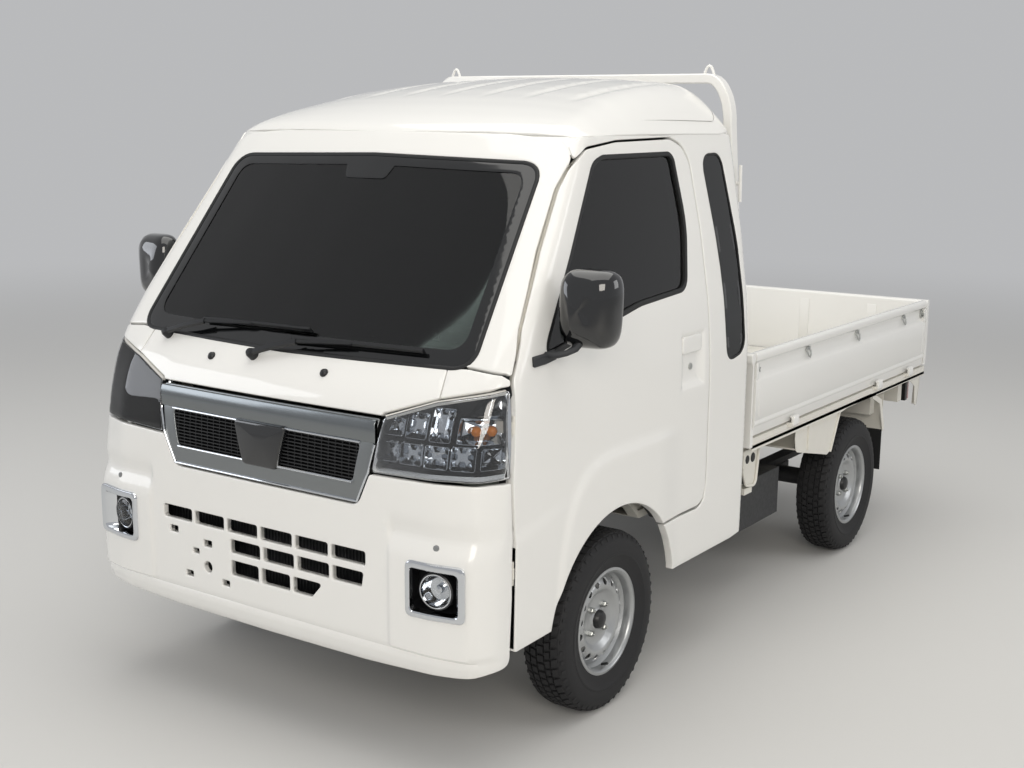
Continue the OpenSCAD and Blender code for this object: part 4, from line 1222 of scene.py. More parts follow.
def wipers():
    """Both wipers, each with its pivot, arm, bow and blade, and the two nozzles on the hood."""
    shape = Shape()
    tilt = math.atan(SCREEN_LEAN)
    normal = (0, -math.cos(tilt), math.sin(tilt))
    blade = [(-6, -3), (6, -3), (3, 4), (-3, 4)]
    rubber = [(-1.5, -6), (1.5, -6), (3.5, 6), (-3.5, 6)]

    def on_glass(x, up, out):
        return screen_surface(out)(np.array([float(x)]), np.array([float(up)]))[0]

    for pivot, reach in (((-470, 30), 420), ((-90, 6), 440)):
        root = on_glass(pivot[0], pivot[1] - 22, 8)
        shape.lathe([(0, 20), (10, 19), (14, 12), (15, -12)], root, normal, 0, 24)
        mid = on_glass(pivot[0] + 150, pivot[1] + 26, 26)
        tip = on_glass(pivot[0] + 330, pivot[1] + 44, 17)
        shape.sweep([root + np.array(normal) * 12, (root + mid) / 2 + np.array(normal) * 10, mid],
                    [(-9, -4), (9, -4), (7, 5), (-7, 5)], 0, up=normal)
        shape.sweep([mid, (mid + tip) / 2, tip], flat_bar(4, 3), 0, up=normal)
        span = np.linspace(-0.48, 0.52, 16)
        for out, section in ((15, blade), (7, rubber)):
            path = [on_glass(pivot[0] + 330 + t * reach, pivot[1] + 46 + t * 10 - 8 * t * t, out)
                    for t in span]
            shape.sweep(path, section, 0, up=normal)
    for x in (-250, 180):
        shape.lathe([(0, 9), (7, 8), (11, 4), (13, 0), (13, -3)], wrap(*round_at(x=x, z=1034)),
                    (0, -0.6, 0.8), 0, 24)
    shape.build("wipers_and_nozzles", BLACK_PLASTIC, crease=40)


# ---------------------------------------------------------------- wheels


RIM_R = 152.7
SHOULDER_LUGS = 52


def tyre_shape():
    """One tyre about the origin with its axle along x: carcass, shoulder ribs and tread blocks."""
    shape = Shape()
    r, w = WHEEL_R, TYRE_W / 2
    bead = RIM_R
    half = [(bead, w - 20), (bead + 5, w - 16), (bead + 12, w - 12), (bead + 18, w - 12.5),
            (bead + 36, w - 4),
            (bead + 44, w - 2), (bead + 46, w - 0.6), (bead + 50, w - 0.6), (bead + 52, w - 2),
            (bead + 64, w - 0.8),
            (bead + 84, w - 3), (bead + 92, w - 6), (bead + 94, w - 8), (r - 12, w - 13), (r - 8, w - 20),
            (r - 7.5, w - 34), (r - 7.0, 0)]
    profile = half + [(a, -b) for a, b in half[::-1]]
    shape.lathe(profile, (0, 0, 0), (1, 0, 0), 0, 96, closed=True)
    rng = np.random.default_rng(7)
    rows = ((-54, -36, 52, 0.0, 3), (-31, -15, 60, 0.5, 2), (-10, 10, 60, 0.0, 0), (15, 31, 60, 0.5, -2),
            (36, 54, 52, 0.0, -3))
    for x0, x1, count, shift, slant in rows:
        for k in range(count):
            t0 = (k + shift + 0.10 + rng.random() * 0.05) / count * 2 * math.pi
            t1 = (k + shift + 0.88) / count * 2 * math.pi
            edge = abs(x0) > 30
            points = []
            for radius, grow in ((r - 9, 0.0), (r - 0.4, 1.0)):
                for x, t, lean in ((x0, t0, -slant), (x1, t0, slant), (x1, t1, slant), (x0, t1, -slant)):
                    outer = edge and abs(x) > 50
                    rr = radius - (5.0 if outer and grow else 0)
                    tt = t + lean * 0.004 + (0.003 if t == t0 else -0.003) * grow
                    points.append((x - math.copysign(0.8 * grow, x if x else 1) * 0.5, rr * math.cos(tt),
                                   rr * math.sin(tt)))
            shape.add(points, BOX_FACES)
    # Shoulder lugs that wrap over onto the sidewall.
    for end in (-1, 1):
        for k in range(SHOULDER_LUGS):
            t = (k + 0.5) / SHOULDER_LUGS * 2 * math.pi
            c, s = math.cos(t), math.sin(t)
            points = []
            for radius, x in ((r - 34, w - 3.2), (r - 10, w - 11), (r - 12, w - 15), (r - 34, w - 8)):
                for d in (-4.5, 4.5):
                    points.append((end * x, radius * c - d * s, radius * s + d * c))
            shape.add(points, [(0, 1, 3, 2), (2, 3, 5, 4), (4, 5, 7, 6), (6, 7, 1, 0), (0, 2, 4, 6),
                               (1, 7, 5, 3)])
    return shape


def rim_shapes():
    """One pressed steel wheel about the origin: rim, dish with round holes, nuts and cap."""
    rim, dark = Shape(), Shape()
    w = TYRE_W / 2
    barrel = [(146, -w + 16), (152, -w + 14), (159, -w + 15), (160, -w + 18), (156, -w + 21), (151, -w + 24),
              (149, -w + 44), (134, -w + 56), (134, w - 62), (149, w - 44), (151, w - 24), (156, w - 20),
              (160, w - 17), (159, w - 13.5), (152, w - 12), (146, w - 16), (143, w - 22), (143, w - 42),
              (128, w - 60), (128, -w + 54), (143, -w + 42), (146, -w + 20)]
    rim.lathe(barrel, (0, 0, 0), (1, 0, 0), 0, 72, closed=True)
    radius = np.array([0, 30, 34, 60, 78, 88, 100, 112, 122, 134, 144])
    height = np.array([32, 32, 26, 24, 27, 38, 43, 41, 34, 22, 4]) - 4.0

    def dish(a, b):
        a, b = np.asarray(a, float), np.asarray(b, float)
        rr = np.hypot(a, b)
        t = (np.interp(rr - 2, radius, height) + np.interp(rr + 2, radius, height) + np.interp(rr, radius,
                                                                                               height)) / 3
        return np.stack([t, a, b], -1)
    outer = np.array([(141 * math.cos(t), 141 * math.sin(t)) for t in turns(90)])
    holes = []
    for k in range(16):
        t = (k + 0.5) * math.pi / 8
        holes.append(np.array([(114 * math.cos(t) + 10.5 * math.cos(a),
                                114 * math.sin(t) + 10.5 * math.sin(a))
                               for a in turns(18)]))
    rings = np.array([(r * math.cos(t), r * math.sin(t)) for r in (31, 34, 46, 60, 72, 80, 88, 96, 131, 137)
                      for t in turns(int(r / 1.4))])
    rim.merge(skin(dish, outer, holes, 9, 1.2, 3.2, extra=rings))
    for k in range(4):
        t = math.pi / 4 + k * math.pi / 2
        centre = (20, 50 * math.cos(t), 50 * math.sin(t))
        hexagon = [(9.5 * math.cos(a), 9.5 * math.sin(a)) for a in turns(6)]
        for x0, x1, k0 in ((18, 31, 1.0), (31, 34, 0.8)):
            ring0 = [(x0, centre[1] + a, centre[2] + b) for a, b in hexagon]
            ring1 = [(x1, centre[1] + a * k0, centre[2] + b * k0) for a, b in hexagon]
            rim.rings([ring0, ring1], 1)
        rim.lathe([(0, 40), (4.5, 39), (5.5, 36), (5.5, 30)], (0, centre[1], centre[2]), (1, 0, 0), 1, 12)
    dark.lathe([(0, 45), (12, 44.5), (22, 41), (27, 34), (29, 22)], (0, 0, 0), (1, 0, 0), 0, 40)
    dark.lathe([(0, -4), (70, -4), (96, -2), (96, 4)], (-26, 0, 0), (1, 0, 0), 0, 40)
    dark.tube([(w - 30, 0, -136), (w - 20, 0, -133), (w - 10, 0, -129)], 4, sides=10)
    return rim, dark


def wheels():
    """The four wheels, each a tyre, a painted disc and a dark cap on its own spinning body."""
    tyre = tyre_shape()
    rim, dark = rim_shapes()
    for end, u in (("front", FRONT_WHEEL_U), ("rear", REAR_WHEEL_U)):
        for side in SIDES:
            label = "%s_%s" % (end, SIDE_NAME[side])
            for shape, name, mats, slot, node in ((tyre, "tyre_%s_tread", TYRE_RUBBER, "tyre", "tyre_%s"),
                                                  (rim, "rim_%s_disc", [WHEEL_PAINT, ZINC], "wheel_paint",
                                                   "rim_%s"),
                                                  (dark, "rim_%s_cap", BLACK_PLASTIC, None, None)):
                placed = shape.on_side(side).moved((side * TRACK_X, u, WHEEL_R))
                placed.build(name % label, mats, body="wheel_" + label, slot=slot,
                             replaces=[node % label] if node else (), crease=35)


# ---------------------------------------------------------------- the bed

GATE_AXIS_X = 736.5
GATE_AXIS_Z = 641
GATE_FOOT = 652
TAIL_AXIS_U = TAIL_BACK - 7
SIDE_HINGES = (1928, 2779, 3152)
TAIL_HINGES = (-450, 0, 450)


def gate_section(inner, outer, foot, top):
    """Pressed section of a gate as (out, z): rolled top rail, recessed strip, flat panel and foot flange."""
    t = outer - inner
    return [(inner, foot + 2), (inner, top - 12), (inner + 4, top - 4), (inner + 12, top), (outer - 9, top),
            (outer - 3, top - 3), (outer, top - 10), (outer, top - 24), (outer - 2.5, top - 30),
            (outer - 8, top - 33),
            (outer - t + 17, top - 36), (outer - t + 15, top - 42), (outer - t + 15, top - 76),
            (outer - 12, top - 84),
            (outer - 4, top - 91), (outer, top - 101), (outer, foot + 57), (outer - 2.4, foot + 54),
            (outer - 2.4, foot + 51), (outer, foot + 48), (outer, foot + 38), (outer - 3, foot + 34),
            (outer - 5, foot + 30), (outer - 5, foot + 4), (outer - 8, foot)]


def rope_hook(shape, at, out, along_u):
    """A bent wire hook under a gate's top rail; out and along_u are directions in (x, u)."""
    x, u, z = at
    path = []
    for a, b, c in ((-17, -6, 14), (-15, 2, 4), (-9, 6, -12), (0, 7, -17), (9, 6, -12), (15, 2, 4),
                    (17, -6, 14)):
        path.append((x + out[0] * b + along_u[0] * a, u + out[1] * b + along_u[1] * a, z + c))
    shape.tube(path, 3.2, 0, 8)


def hinge_leaf(shape, axis, out, along, top):
    """The gate's hinge: an eye on the pin and the bent leaf up to the gate's foot."""
    at, outwards, sideways = (np.array(v, float) for v in (axis, out, along))
    section = [(-7, -4), (-4, -7), (4, -7), (7, -4), (7, 4), (7, top - 2), (5, top), (-8, top), (-8, top - 5),
               (-3, top - 8), (-3, 6), (-7, 4)]
    rings = [[tuple(at + sideways * end + outwards * p + [0, 0, q]) for p, q in section] for end in (-23, 23)]
    shape.rings(rings, 0)


def side_gates():
    """The drop sides, with their ribs, hooks and latches."""
    for side in SIDES:
        name = "gate_" + SIDE_NAME[side]
        shape = Shape()
        section = gate_section(GATE_LOW[0], 729.5, GATE_FOOT, GATE_HIGH[2])
        shape.prism(section, GATE_LOW[1] + 1, GATE_HIGH[1] - 1, "xz")
        # Upright ribs close the recessed strip at both ends and frame the flat panel.
        for u0, u1 in ((1604, 1622), (3322, 3341)):
            shape.prism([(714, 853), (729, 848), (729, 906), (714, 906)], u0, u1, "xz")
        for u0, u1 in ((1630, 1634), (3310, 3314)):
            shape.prism([(728, 716), (730.6, 716), (730.6, 832), (728, 832)], u0, u1, "xz")
        for u in (1790, 2090, 2390, 2690, 2990):
            shape.prism([(698, 676), (694.6, 680), (694.6, 900), (698, 904)], u - 22, u + 22, "xz")
        for u in SIDE_HINGES:
            hinge_leaf(shape, (GATE_AXIS_X, u, GATE_AXIS_Z), (1, 0, 0), (0, 1, 0), 30)
        fittings = Shape()
        for u in (2067, 2553, 3088):
            rope_hook(fittings, (718, u, 880), (1, 0), (0, 1))
            fittings.box((712, u - 14, 890), (719, u + 14, 901))
        for u0, u1, ut in ((1606, 1642, 1634), (3303, 3339, 3311)):
            fittings.box((713, u0, 868), (721, u1, 900))
            fittings.tube([(724, u0 + 6, 884), (724, u1 - 4, 884), (726, ut, 872)], 4, 0, 10)
        shape.on_side(side).build(name + "_panel", ENAMEL, body=name, slot="white_paint",
                                  replaces=[name], bevel=1.0,
                    crease=50)
        fittings.on_side(side).build(name + "_latches", ZINC, body=name, bevel=0.8)


def tail_gate():
    """The drop tail, with its ribs and hooks."""
    shape = Shape()
    shape.prism(gate_section(3348, 3380, GATE_FOOT, GATE_HIGH[2]), -729, 729, "uz")
    for x0, x1 in ((-728, -708), (708, 728)):
        shape.prism([(3365, 853), (3379.5, 848), (3379.5, 906), (3365, 906)], x0, x1, "uz")
    for x in (-480, -160, 160, 480):
        shape.prism([(3349, 676), (3345.6, 680), (3345.6, 900), (3349, 904)], x - 22, x + 22, "uz")
    for x in TAIL_HINGES:
        hinge_leaf(shape, (x, TAIL_AXIS_U, GATE_AXIS_Z), (0, 1, 0), (1, 0, 0), 30)
    shape.build("tailgate_panel", ENAMEL, body="tailgate", slot="white_paint", replaces=["tailgate"],
                bevel=1.0,
                crease=50)
    hooks = Shape()
    for x in (-500, 0, 500):
        rope_hook(hooks, (x, 3368, 880), (0, 1), (1, 0))
        hooks.box((x - 14, 3363, 890), (x + 14, 3370, 901))
    hooks.build("tailgate_hooks", ZINC, body="tailgate")


def bed_deck():
    """The ribbed deck with the rails, hinge ears and pins along its edges."""
    shape = Shape()

    def deck(x, u):
        x, u = np.asarray(x, float), np.asarray(u, float)
        wave = np.abs(((x / 88 + 0.5) % 1) - 0.5) * 88
        groove = (1 - ramp(wave, 9, 16)) * ramp(u, 1625, 1640) * (1 - ramp(u, 3300, 3315))
        return np.stack([x, u, BED_TOP - 3.5 * groove * (np.abs(x) < 660)], -1)
    outline = rounded([(-691, 1598), (691, 1598), (691, 3341), (-691, 3341)], 40)
    lines = np.array([(88 * k + d, u) for k in range(-7, 8) for d in (-16, -12.5, -9, 9, 12.5, 16)
                      for u in np.concatenate([[1625, 1632, 1640], np.arange(1700, 3300, 90),
                                               [3300, 3308, 3315]])])
    shape.merge(skin(deck, outline, (), 90, 0.8, 3.5, extra=lines))
    rail = [(691, 646), (691, 642), (694, 640), (722, 640), (722, 612), (706, 612), (706, 609), (725.5, 609),
            (725.5, 645)]
    left = Shape().prism(rail, 1598, 3376, "xz")
    # The rail's skirt rises behind the wheel's top.
    skirt = [(1598, 620), (1598, 601), (2420, 601), (2470, 607), (2560, 607), (2640, 622), (2720, 622),
             (2790, 606), (3376, 606), (3376, 620)]
    left.prism(skirt, 721.5, 725.5, "uz")
    for u in SIDE_HINGES:
        for e in SIDES:
            left.prism([(718, 634), (736, 634), (741, 636), (743, 641), (741, 646), (736, 648), (718, 648)],
                       u + e * 26, u + e * 34, "xz")
        left.tube([(GATE_AXIS_X, u - 33, GATE_AXIS_Z), (GATE_AXIS_X, u + 33, GATE_AXIS_Z)], 4, 0, 12)
    shape.merge(left.both())
    rear = [(3340, 646), (3340, 640), (3372, 640), (3372, 605), (3360, 605), (3360, 602), (3376, 602),
            (3376, 645)]
    shape.prism(rear, -725, 725, "uz")
    for x in TAIL_HINGES:
        for e in SIDES:
            shape.prism([(3372, 634), (3388, 634), (3393, 636), (3395, 641), (3393, 646), (3388, 648),
                         (3372, 648)],
                        x + e * 26, x + e * 34, "uz")
        shape.tube([(x - 33, TAIL_AXIS_U, GATE_AXIS_Z), (x + 33, TAIL_AXIS_U, GATE_AXIS_Z)], 4, 0, 12)
    # Stringers under the deck.
    for x in (-420, 420):
        shape.prism([(x - 20, 651), (x - 20, 612), (x + 20, 612), (x + 20, 651)], 1610, 3330, "xz")
    shape.build("bed_deck", BED_ENAMEL, slot="white_paint", replaces=["bed_floor"], crease=40)


def head_board():
    """The ribbed board at the head of the bed."""
    low, high = node_box("headboard")
    shape = Shape()
    section = [(high[1] - 22, low[2]), (high[1] - 22, 900), (low[1] + 4, 906), (low[1], 914),
               (low[1] + 1, 934),
               (low[1] + 8, high[2]), (high[1] - 6, high[2]), (high[1], 934), (high[1], 916),
               (high[1] - 6, 910),
               (high[1] - 12, 904), (high[1] - 12, 690), (high[1] - 6, 682), (high[1], 676),
               (high[1], low[2])]
    shape.prism(section, low[0] + 1, high[0] - 1, "uz")
    for x in (-660, -330, 0, 330, 660):
        shape.prism([(high[1] - 14, 692), (high[1] - 3, 700), (high[1] - 3, 896), (high[1] - 14, 902)],
                    x - 24, x + 24,
                    "uz")
    shape.build("headboard_panel", ENAMEL, slot="white_paint", replaces=["headboard"], bevel=1.2, crease=45)


def guard_rack():
    """The frame behind the cab: folded posts that lean in, a mesh of bars, top loops and side cleats."""
    low, high = node_box("guard_frame")
    u = (low[1] + high[1]) / 2
    shape = Shape()
    strap = [(-12, -22), (-16, -18), (-16, 18), (-12, 22), (12, 22), (16, 18), (16, -18), (12, -22)]
    top = ROOF_TOP + 6
    left = [(640, 940), (637, 1150), (628, 1380), (614, 1560), (604, 1690)]
    corner = [(604 - 78 * (1 - math.cos(t)), 1690 + (top - 1690) * math.sin(t))
              for t in np.linspace(0.15, math.pi / 2, 10)]
    half = left + corner
    path = [(x, u, z) for x, z in half] + [(-x, u, z) for x, z in half[::-1]]
    dense = [path[0]]
    for a, b in zip(path[:-1], path[1:]):
        dense += [tuple(np.array(a) + (np.array(b) - a) * k / 4) for k in range(1, 5)]
    shape.sweep(dense, strap, up=(0, 1, 0))
    for z, x in ((1040, 640), (1560, 612)):
        shape.tube([(-x, u, z), (x, u, z)], 11)
    for x in (-300, -100, 100, 300):
        shape.tube([(x, u, 1040), (x, u, 1560)], 8, 0, 12)
    for side in SIDES:
        foot = [(side * 610, 939), (side * 672, 939), (side * 668, 946), (side * 614, 946)]
        shape.prism(foot[::side], u - 15, u + 15, "xz")
        loop = [(side * 500, 1836), (side * 508, 1862), (side * 515, 1876), (side * 522, 1880),
                (side * 529, 1876),
                (side * 536, 1862), (side * 548, 1828)]
        shape.tube([(x, u, z) for x, z in loop], 5, 0, 10)
        shape.tube([(side * 612, u, 1500), (side * 650, u, 1500)], 6, 0, 10)
        shape.tube([(side * 651, u, 1440), (side * 649, u, 1560)], 6, 0, 10)
    shape.build("guard_rack", ENAMEL, slot="white_paint", replaces=["guard_frame"], crease=40)


def under_bed():
    """Brackets, splash plates, flaps and lamps below the bed."""
    plates = Shape()
    for side in SIDES:
        part = Shape()
        face = [(1996, 600), (1992, 570), (2004, 524), (2018, 514), (2306, 449), (2332, 456), (2345, 476),
                (2412, 600)]
        part.prism(face, 712, 715, "uz")
        back = rounded([(2004, 524, 10), (2306, 449, 10), (2310, 453, 4), (2006, 530, 4)], 30)
        part.prism([(u, z) for u, z in back], 560, 713, "uz")
        part.prism([(2330, 456), (2334, 456), (2412, 600), (2404, 600)], 690, 722, "uz")
        part.prism([(2104, 600), (2120, 600), (2120, 505), (2104, 508)], 714, 722, "uz")
        # Fixing plate behind the cab, with its folded rim.
        rim = rounded([(1612, 592, 8), (1612, 520, 24), (1640, 466, 20), (1716, 452, 24), (1738, 592, 10)],
                      12)
        part.tube([(690, u, z) for u, z in rim], 5, 0, 10, closed=True)
        part.prism([tuple(q) for q in rim], 683, 686, "uz")
        part.box((600, 1640, 430), (686, 1700, 452))
        # Splash plate and stay over the rear flap.
        part.prism([(2948, 600), (2948, 430), (2944, 430), (2944, 600)], 492, 700, "uz")
        part.sweep([(705, 2800, 600), (708, 2890, 560), (704, 2952, 430)], flat_bar(2, 12))
        # Rear leg beside the lamps.
        leg = [(3232, 604), (3374, 604), (3372, 560), (3352, 474), (3338, 470), (3322, 480), (3312, 560)]
        part.prism(leg, 706, 710, "uz")
        part.prism([(3366, 602), (3370, 602), (3350, 474), (3346, 474)], 688, 710, "uz")
        plates.merge(part.on_side(side))
    plates.build("under_bed_plates", BED_ENAMEL, slot="white_paint", bevel=0.8)
    # Painted shade: the dark rubber discs on each fixing plate stand for its holes and the shade seen through
    # them; the flaps are real rubber.
    holes = Shape()
    for side in SIDES:
        for u, r in ((1652, 15), (1696, 17)):
            holes.lathe([(0, 1.4), (r - 2, 1.4), (r, 0.8), (r, -2)], (side * 686.4, u, 556), (side, 0, 0), 0,
                        24)
        holes.prism([(2946, 432), (2950, 432), (2950, 255), (2946, 255)], side * 488, side * 700, "uz")
    holes.build("mud_flaps", FLAP_RUBBER, replaces=["mudguards"], bevel=0.8)
    lamps = Shape()
    low, high = node_box("tail_lamps")
    for side in SIDES:
        edges = np.linspace(482, 667, 4)
        for k, paint in ((0, 1), (1, 2), (2, 0)):
            part = Shape().box((edges[k] + 1, low[1] + 26, low[2] + 3), (edges[k + 1] - 1, high[1] - 1, 572),
                               paint)
            for z in np.arange(low[2] + 12, 566, 9):
                part.box((edges[k] + 4, high[1] - 2, z), (edges[k + 1] - 4, high[1] - 0.2, z + 3), paint)
            lamps.merge(part.on_side(side))
        case = Shape().box((480, low[1], low[2]), (669, low[1] + 27, 575), 3)
        case.box((520, low[1] + 6, 574), (560, low[1] + 20, 600), 3)
        case.box((600, low[1] + 6, 574), (640, low[1] + 20, 600), 3)
        lamps.merge(case.on_side(side))
    lamps.build("tail_lamp_units", [RED_LENS, AMBER, CLEAR_LENS, BLACK_PLASTIC], slot="tail_lamp",
                replaces=["tail_lamps"], bevel=1.5)
    plate = Shape()
    plate.box((-170, 3362, 470), (170, 3366, 590))
    plate.box((-60, 3352, 588), (60, 3368, 604))
    plate.build("rear_plate_holder", BLACK_PLASTIC, bevel=2)


# ---------------------------------------------------------------- what carries over from the CAD

CARRIED = {CHASSIS: ["chassis_frame", "front_crossmember", "front_struts", "rear_axle", "leaf_springs",
                     "propshaft",
                     "fuel_tank"],
           STEEL: ["knuckle_left", "knuckle_right", "exhaust"],
           CAST: ["engine_block"],
           BED_ENAMEL: ["bed_crossbeams", "cab_floor"],
           DOOR_GLASS: ["cab_windows"]}


def coat_carried_parts():
    """Gives the CAD nodes that stay in view their own surfaces."""
    for mat, names in CARRIED.items():
        for name in names:
            piece = bpy.data.objects[name]
            piece.data.materials.clear()
            piece.data.materials.append(mat)


# ---------------------------------------------------------------- inside the cab


def below(loop, height):
    """The part of an outline under a height."""
    out = []
    for i in range(len(loop)):
        p, q = loop[i], loop[(i + 1) % len(loop)]
        if p[1] <= height:
            out.append(p)
        if (p[1] - height) * (q[1] - height) < 0:
            out.append(p + (q - p) * (height - p[1]) / (q[1] - p[1]))
    return np.array(out)


def door_linings():
    """Inside of each door: moulded lining with its armrest, the upper frame and the outer handle."""
    def grip_face(u, z):
        points = flank(u, z)
        points[..., 0] -= 1.5 + 3 * ramp(1060 - np.asarray(z, float), 0, 60)
        return points
    lower = below(shrunk(DOOR_OUTLINE, 14), 1092)
    for side in SIDES:
        name = "door_" + SIDE_NAME[side]
        lining = skin(flank_at(58), lower, (), 34, 8, 2.4, flip=-1, lip=36)
        lining.box((636, 760, 905), (676, 1160, 940), taper=6)
        lining.box((652, 560, 650), (678, 1150, 742), taper=5)
        frame = skin(flank_at(31), shrunk(DOOR_OUTLINE, 12), [shrunk(DOOR_GLASS_EDGE, -7)], 30, 4, 1.6,
                     flip=-1, lip=12)
        handle = Shape()
        grip = rounded([(1064, 1006, 12), (1188, 1006, 12), (1188, 1060, 14), (1064, 1060, 14)], 7)
        handle.merge(skin(grip_face, grip, (), 14, 4, 6))
        lock = Shape()
        lock.lathe([(0, 4), (8, 4), (10, 2), (10, -4)],
                   flank(np.array([1128.0]), np.array([962.0]))[0] - [14, 0, 0],
                   (1, 0, 0), 0, 24)
        for shape, label, mat in ((lining, "lining", DASH_PLASTIC), (frame, "inner_frame", BED_ENAMEL),
                                  (handle, "handle", ENAMEL), (lock, "lock", ZINC)):
            shape.on_side(side).build("%s_%s" % (name, label), mat, body=name)


def headliner():
    """Lining under the roof, with the sun visors, the mirror and the camera's housing."""
    lining = skin(lambda x, u: roof(x, u) - [0, 0, 34],
                  rounded([(-590, 600, 60), (590, 600, 60), (596, 1490, 60),
                                                               (-596, 1490, 60)], 40), (), 60, 4, 3, flip=-1,
                  lip=20)
    lining.build("headliner", GREY_FABRIC, crease=50)
    visors = Shape()
    for side in SIDES:
        part = Shape()
        part.rings([[(x, 590 + d * 0.86, 1606 - d * 0.12 + t)
                     for x, t in ((110, -6), (520, -6), (528, 0), (520, 6),
                                                                         (110, 6), (102, 0))]
                    for d in (0, 12, 140, 150)])
        visors.merge(part.on_side(side))
    visors.build("sun_visors", GREY_FABRIC, bevel=4)
    unit = Shape()
    unit.rings([[(-72 * k, u, z), (72 * k, u, z), (64 * k, u + 50, z - 34), (-64 * k, u + 50, z - 34)]
                for k, u, z in ((1, 498, 1572), (0.9, 462, 1528))])
    unit.box((-26, 540, 1536), (26, 575, 1600), taper=3)
    unit.box((-118, 566, 1496), (118, 588, 1556), taper=5)
    unit.build("camera_housing_and_mirror", BLACK_PLASTIC, bevel=5)
    grips = Shape()
    for side in SIDES:
        path = [(side * 576, 530, 1500), (side * 560, 545, 1480), (side * 566, 520, 1420),
                (side * 574, 500, 1370),
                (side * 592, 450, 1352)]
        grips.tube(path, 9, 0, 12)
        grips.sweep([(side * 572, 536, 1520), (side * 590, 462, 1400), (side * 606, 392, 1300),
                     (side * 626, 316, 1190),
                     (side * 640, 262, 1110)], [(-18, -8), (18, -8), (14, 10), (-14, 10)], up=(0, 0.7, -0.7))
    grips.build("pillar_linings_and_grips", GREY_PLASTIC, bevel=2)
    back = Shape()
    window = rounded([(-446, 1124, 30), (446, 1124, 30), (426, 1546, 30), (-426, 1546, 30)], 20)
    face = rounded([(-532, 560, 20), (532, 560, 20), (532, 1400, 40), (500, 1640, 60), (-500, 1640, 60),
                    (-532, 1400, 40)], 30)
    back.merge(skin(lambda x, z: np.stack([x, 1489 + 0 * x, z], -1), face, [window], 90, 3, 3))
    back.build("rear_lining", NEEDLE_FELT)


DRIVER_X = -330                        # the steering column stands on the right


def dash_board():
    """The moulding with its hood, screens, vents, lever, pedals and the floor mats."""
    dash, dark, screen = Shape(), Shape(), Shape()
    section = [(212, 975), (236, 998), (300, 1006), (352, 1006), (392, 998), (412, 984), (419, 962),
               (412, 936),
               (396, 926), (402, 916), (416, 900), (414, 880), (396, 864), (330, 861), (300, 880), (212, 905)]
    dash.prism(section, -603, 603, "uz")
    # Hood over the instruments, ahead of the steering wheel.
    hood = []
    for u, k in ((300, 0.7), (330, 0.94), (372, 1.0), (404, 0.97)):
        hood.append([(DRIVER_X + 138 * k * math.cos(t), u, 998 + 48 * k * max(math.sin(t), -0.12))
                     for t in turns(40)])
    dash.rings(hood)
    dash.box((-112, 302, 531), (112, 426, 861), taper=4)
    dash.sweep([(DRIVER_X, 396, 896), (DRIVER_X, 470, 950), (DRIVER_X, 520, 984)],
               [(-38, -30), (38, -30), (44, 0), (34, 34),
                                                                     (-34, 34), (-44, 0)], up=(0, -0.6, 0.8))
    for x0, x1 in ((150, 560), (-590, -480)):
        dash.box((x0, 400, 930), (x1, 424, 976), taper=4)
    dash.build("dash_moulding", DASH_PLASTIC, replaces=["dashboard"], bevel=5, steps=3, crease=30)
    dark.prism([(DRIVER_X + 118 * math.cos(t), 1000 + 38 * max(math.sin(t), -0.1)) for t in turns(40)], 400,
               407)
    dark.box((-118, 408, 892), (118, 424, 992), taper=2)
    dark.prism([(-60, 800), (60, 800), (60, 850), (-60, 850)], 424, 430)
    dark.build("dash_displays", PIANO_BLACK, bevel=2)
    for x0 in (-560, -200, 130, 492):
        x1 = x0 + 66
        for z in np.arange(938, 972, 8):
            screen.box((x0 + 4, 418, z), (x1 - 4, 428, z + 2))
        screen.box((x0, 416, 932), (x1, 420, 974))
    screen.tube([(60, 424, 830), (60, 470, 868), (58, 492, 900)], 8)
    screen.lathe([(0, 24), (14, 22), (20, 12), (19, -8), (12, -18), (0, -20)], (58, 496, 910), (0, 0.3, 1), 0,
                 32)
    for x, z, w in ((-290, 640, 30), (-400, 660, 48)):
        screen.prism([(x - w, z - 34), (x + w, z - 34), (x + w, z + 34), (x - w, z + 34)], 470, 480)
        screen.tube([(x, 470, z), (x, 420, z + 60), (x, 380, z + 190)], 8)
    screen.build("dash_vents_lever_and_pedals", BLACK_PLASTIC, bevel=1.5)
    mats = Shape()
    for side in SIDES:
        outline = rounded([(side * 130, 450, 30), (side * 560, 450, 60), (side * 560, 860, 30),
                           (side * 130, 860, 30)], 30)
        mats.prism([tuple(q) for q in outline], 530.5, 536, "xu")
    mats.build("floor_mats", FLAP_RUBBER, bevel=2)


def wheel_of_steering():
    """Rim, spokes and pad, leaning back on the column."""
    foot, top = np.array([DRIVER_X, 400, 900.0]), np.array([DRIVER_X, 540, 1000.0])
    axis = Vector(top - foot).normalized()
    centre = Vector(top) + axis * 12
    side = Vector((1, 0, 0))
    up = side.cross(axis) if side.cross(axis)[2] > 0 else axis.cross(side)
    shape = Shape()
    ring = [centre + side * (172 * math.cos(t)) + up * (172 * math.sin(t))
            for t in turns(64)]
    r = 14
    rings = []
    for p in ring:
        out = (p - centre).normalized()
        rings.append([p + out * (r * math.cos(a)) + axis * (r * 1.1 * math.sin(a))
                      for a in turns(16)])
    shape.rings(rings, closed=True)
    for angle in (8, 172, 270):
        t = math.radians(angle)
        way = side * math.cos(t) + up * math.sin(t)
        shape.sweep([centre + way * 40 - axis * 2, centre + way * 105, centre + way * 164],
                    [(-20, -5), (20, -5), (17, 6), (-17, 6)], up=axis)
    shape.build("steering_wheel_rim", BLACK_PLASTIC, body="steering_wheel", replaces=["steering_wheel"],
                bevel=2)
    pad = Shape()
    pad.lathe([(0, 20), (30, 19), (56, 13), (66, 4), (66, -10), (40, -14), (30, -14)], centre, axis, 0, 40)
    pad.build("steering_wheel_pad", DASH_PLASTIC, body="steering_wheel")


